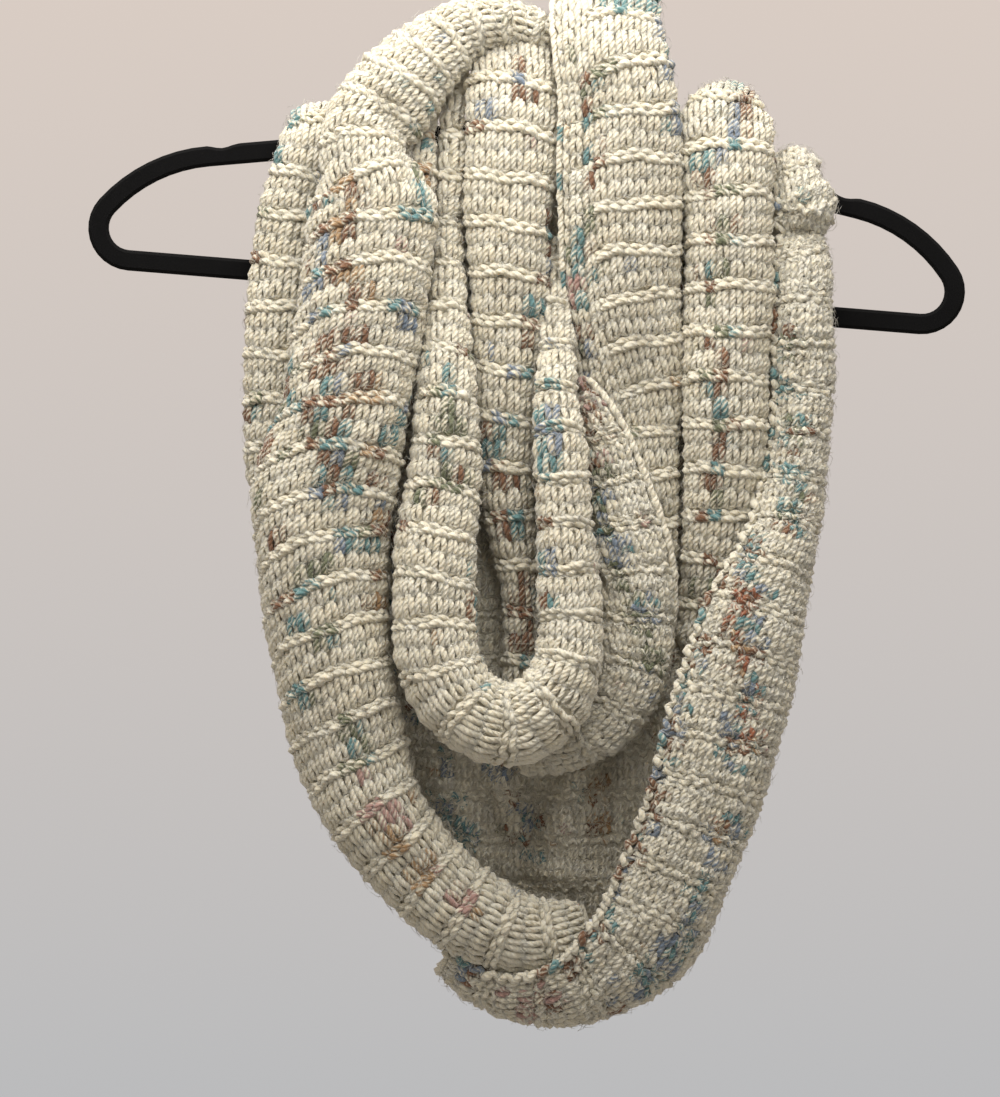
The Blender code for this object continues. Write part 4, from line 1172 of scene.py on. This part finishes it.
def light_room(strength):
    """A pale room behind, a shade warmer towards the ceiling, and a dimmer one in front."""
    room = bpy.data.worlds.new("Pale room")
    room.use_nodes = True
    bpy.context.scene.world = room
    tree = room.node_tree
    place = tree.nodes.new("ShaderNodeTexCoord")
    split = tree.nodes.new("ShaderNodeSeparateXYZ")
    tree.links.new(place.outputs["Generated"], split.inputs[0])
    wall = mix_node(tree, range_node(tree, split.outputs["Z"], -0.13, 0.13), *BACK_ROOM)
    depth = range_node(tree, split.outputs["Y"], -0.5, 0.6)
    front = mix_node(tree, range_node(tree, split.outputs["Z"], -0.4, 0.5), *FRONT_ROOM)
    back = tree.nodes["Background"]
    tree.links.new(mix_node(tree, depth, front, wall), back.inputs["Color"])
    back.inputs["Strength"].default_value = strength


def add_lamp(name, power, size, place, colour):
    """A square soft light, turned to the middle of the picture."""
    lamp = bpy.data.lights.new(name, "AREA")
    lamp.energy = power
    lamp.size = size
    lamp.color = colour
    made = bpy.data.objects.new(name, lamp)
    bpy.context.scene.collection.objects.link(made)
    made.location = place
    made.rotation_euler = (AIM - Vector(place)).to_track_quat("-Z", "Y").to_euler()


def add_camera(away):
    lens = bpy.data.cameras.new("Camera")
    lens.sensor_fit = "VERTICAL"
    lens.angle = 2 * math.atan(VIEW_TALL / 2 / away)
    camera = bpy.data.objects.new("Camera", lens)
    bpy.context.scene.collection.objects.link(camera)
    camera.location = AIM + Vector((0.0, -away, 0.0))
    camera.rotation_euler = (math.radians(90.0), 0.0, 0.0)
    bpy.context.scene.camera = camera


class SCARF_OT_studio(bpy.types.Operator):
    """Set the floor, the room's light, the lamps and the camera."""

    bl_idname = "scarf.studio"
    bl_label = "Studio"

    def execute(self, context):
        studio = context.scene.scarf_studio
        add_floor()
        light_room(studio.room_light)
        add_lamp("Key light", studio.key_power, 0.9, KEY_PLACE, (1.0, 0.96, 0.90))
        add_lamp("Fill light", studio.fill_power, 1.5, FILL_PLACE, (0.92, 0.95, 1.0))
        add_camera(studio.camera_away)
        context.scene.view_settings.view_transform = "Standard"
        return {"FINISHED"}


class SCARF_PT_panel(bpy.types.Panel):
    """The scarf's pieces and its settings."""

    bl_label = "Infinity scarf"
    bl_space_type = "VIEW_3D"
    bl_region_type = "UI"
    bl_category = "Scarf"

    def draw(self, context):
        for operator in OPERATORS:
            self.layout.operator(operator.bl_idname)
        for group in ("scarf_sizes", "scarf_colours", "hanger_finish", "scarf_studio"):
            settings = getattr(context.scene, group)
            for key in settings.__annotations__:
                self.layout.prop(settings, key)


OPERATORS = (
    SCARF_OT_big_loop,
    SCARF_OT_inner_loops,
    SCARF_OT_front_folds,
    SCARF_OT_back_wall,
    SCARF_OT_hanger,
    SCARF_OT_studio,
)
GROUPS = {
    "scarf_sizes": ScarfSizes,
    "scarf_colours": ScarfColours,
    "hanger_finish": HangerFinish,
    "scarf_studio": StudioSettings,
}


def register():
    for made in (*GROUPS.values(), *OPERATORS, SCARF_PT_panel):
        bpy.utils.register_class(made)
    for name, group in GROUPS.items():
        setattr(bpy.types.Scene, name, PointerProperty(type=group))


def unregister():
    for name in GROUPS:
        delattr(bpy.types.Scene, name)
    for made in reversed((*GROUPS.values(), *OPERATORS, SCARF_PT_panel)):
        bpy.utils.unregister_class(made)


def main():
    register()
    bpy.ops.scarf.big_loop()
    bpy.ops.scarf.inner_loops()
    bpy.ops.scarf.front_folds()
    bpy.ops.scarf.back_wall()
    bpy.ops.scarf.hanger()
    bpy.ops.scarf.studio()


if __name__ == "__main__":
    main()
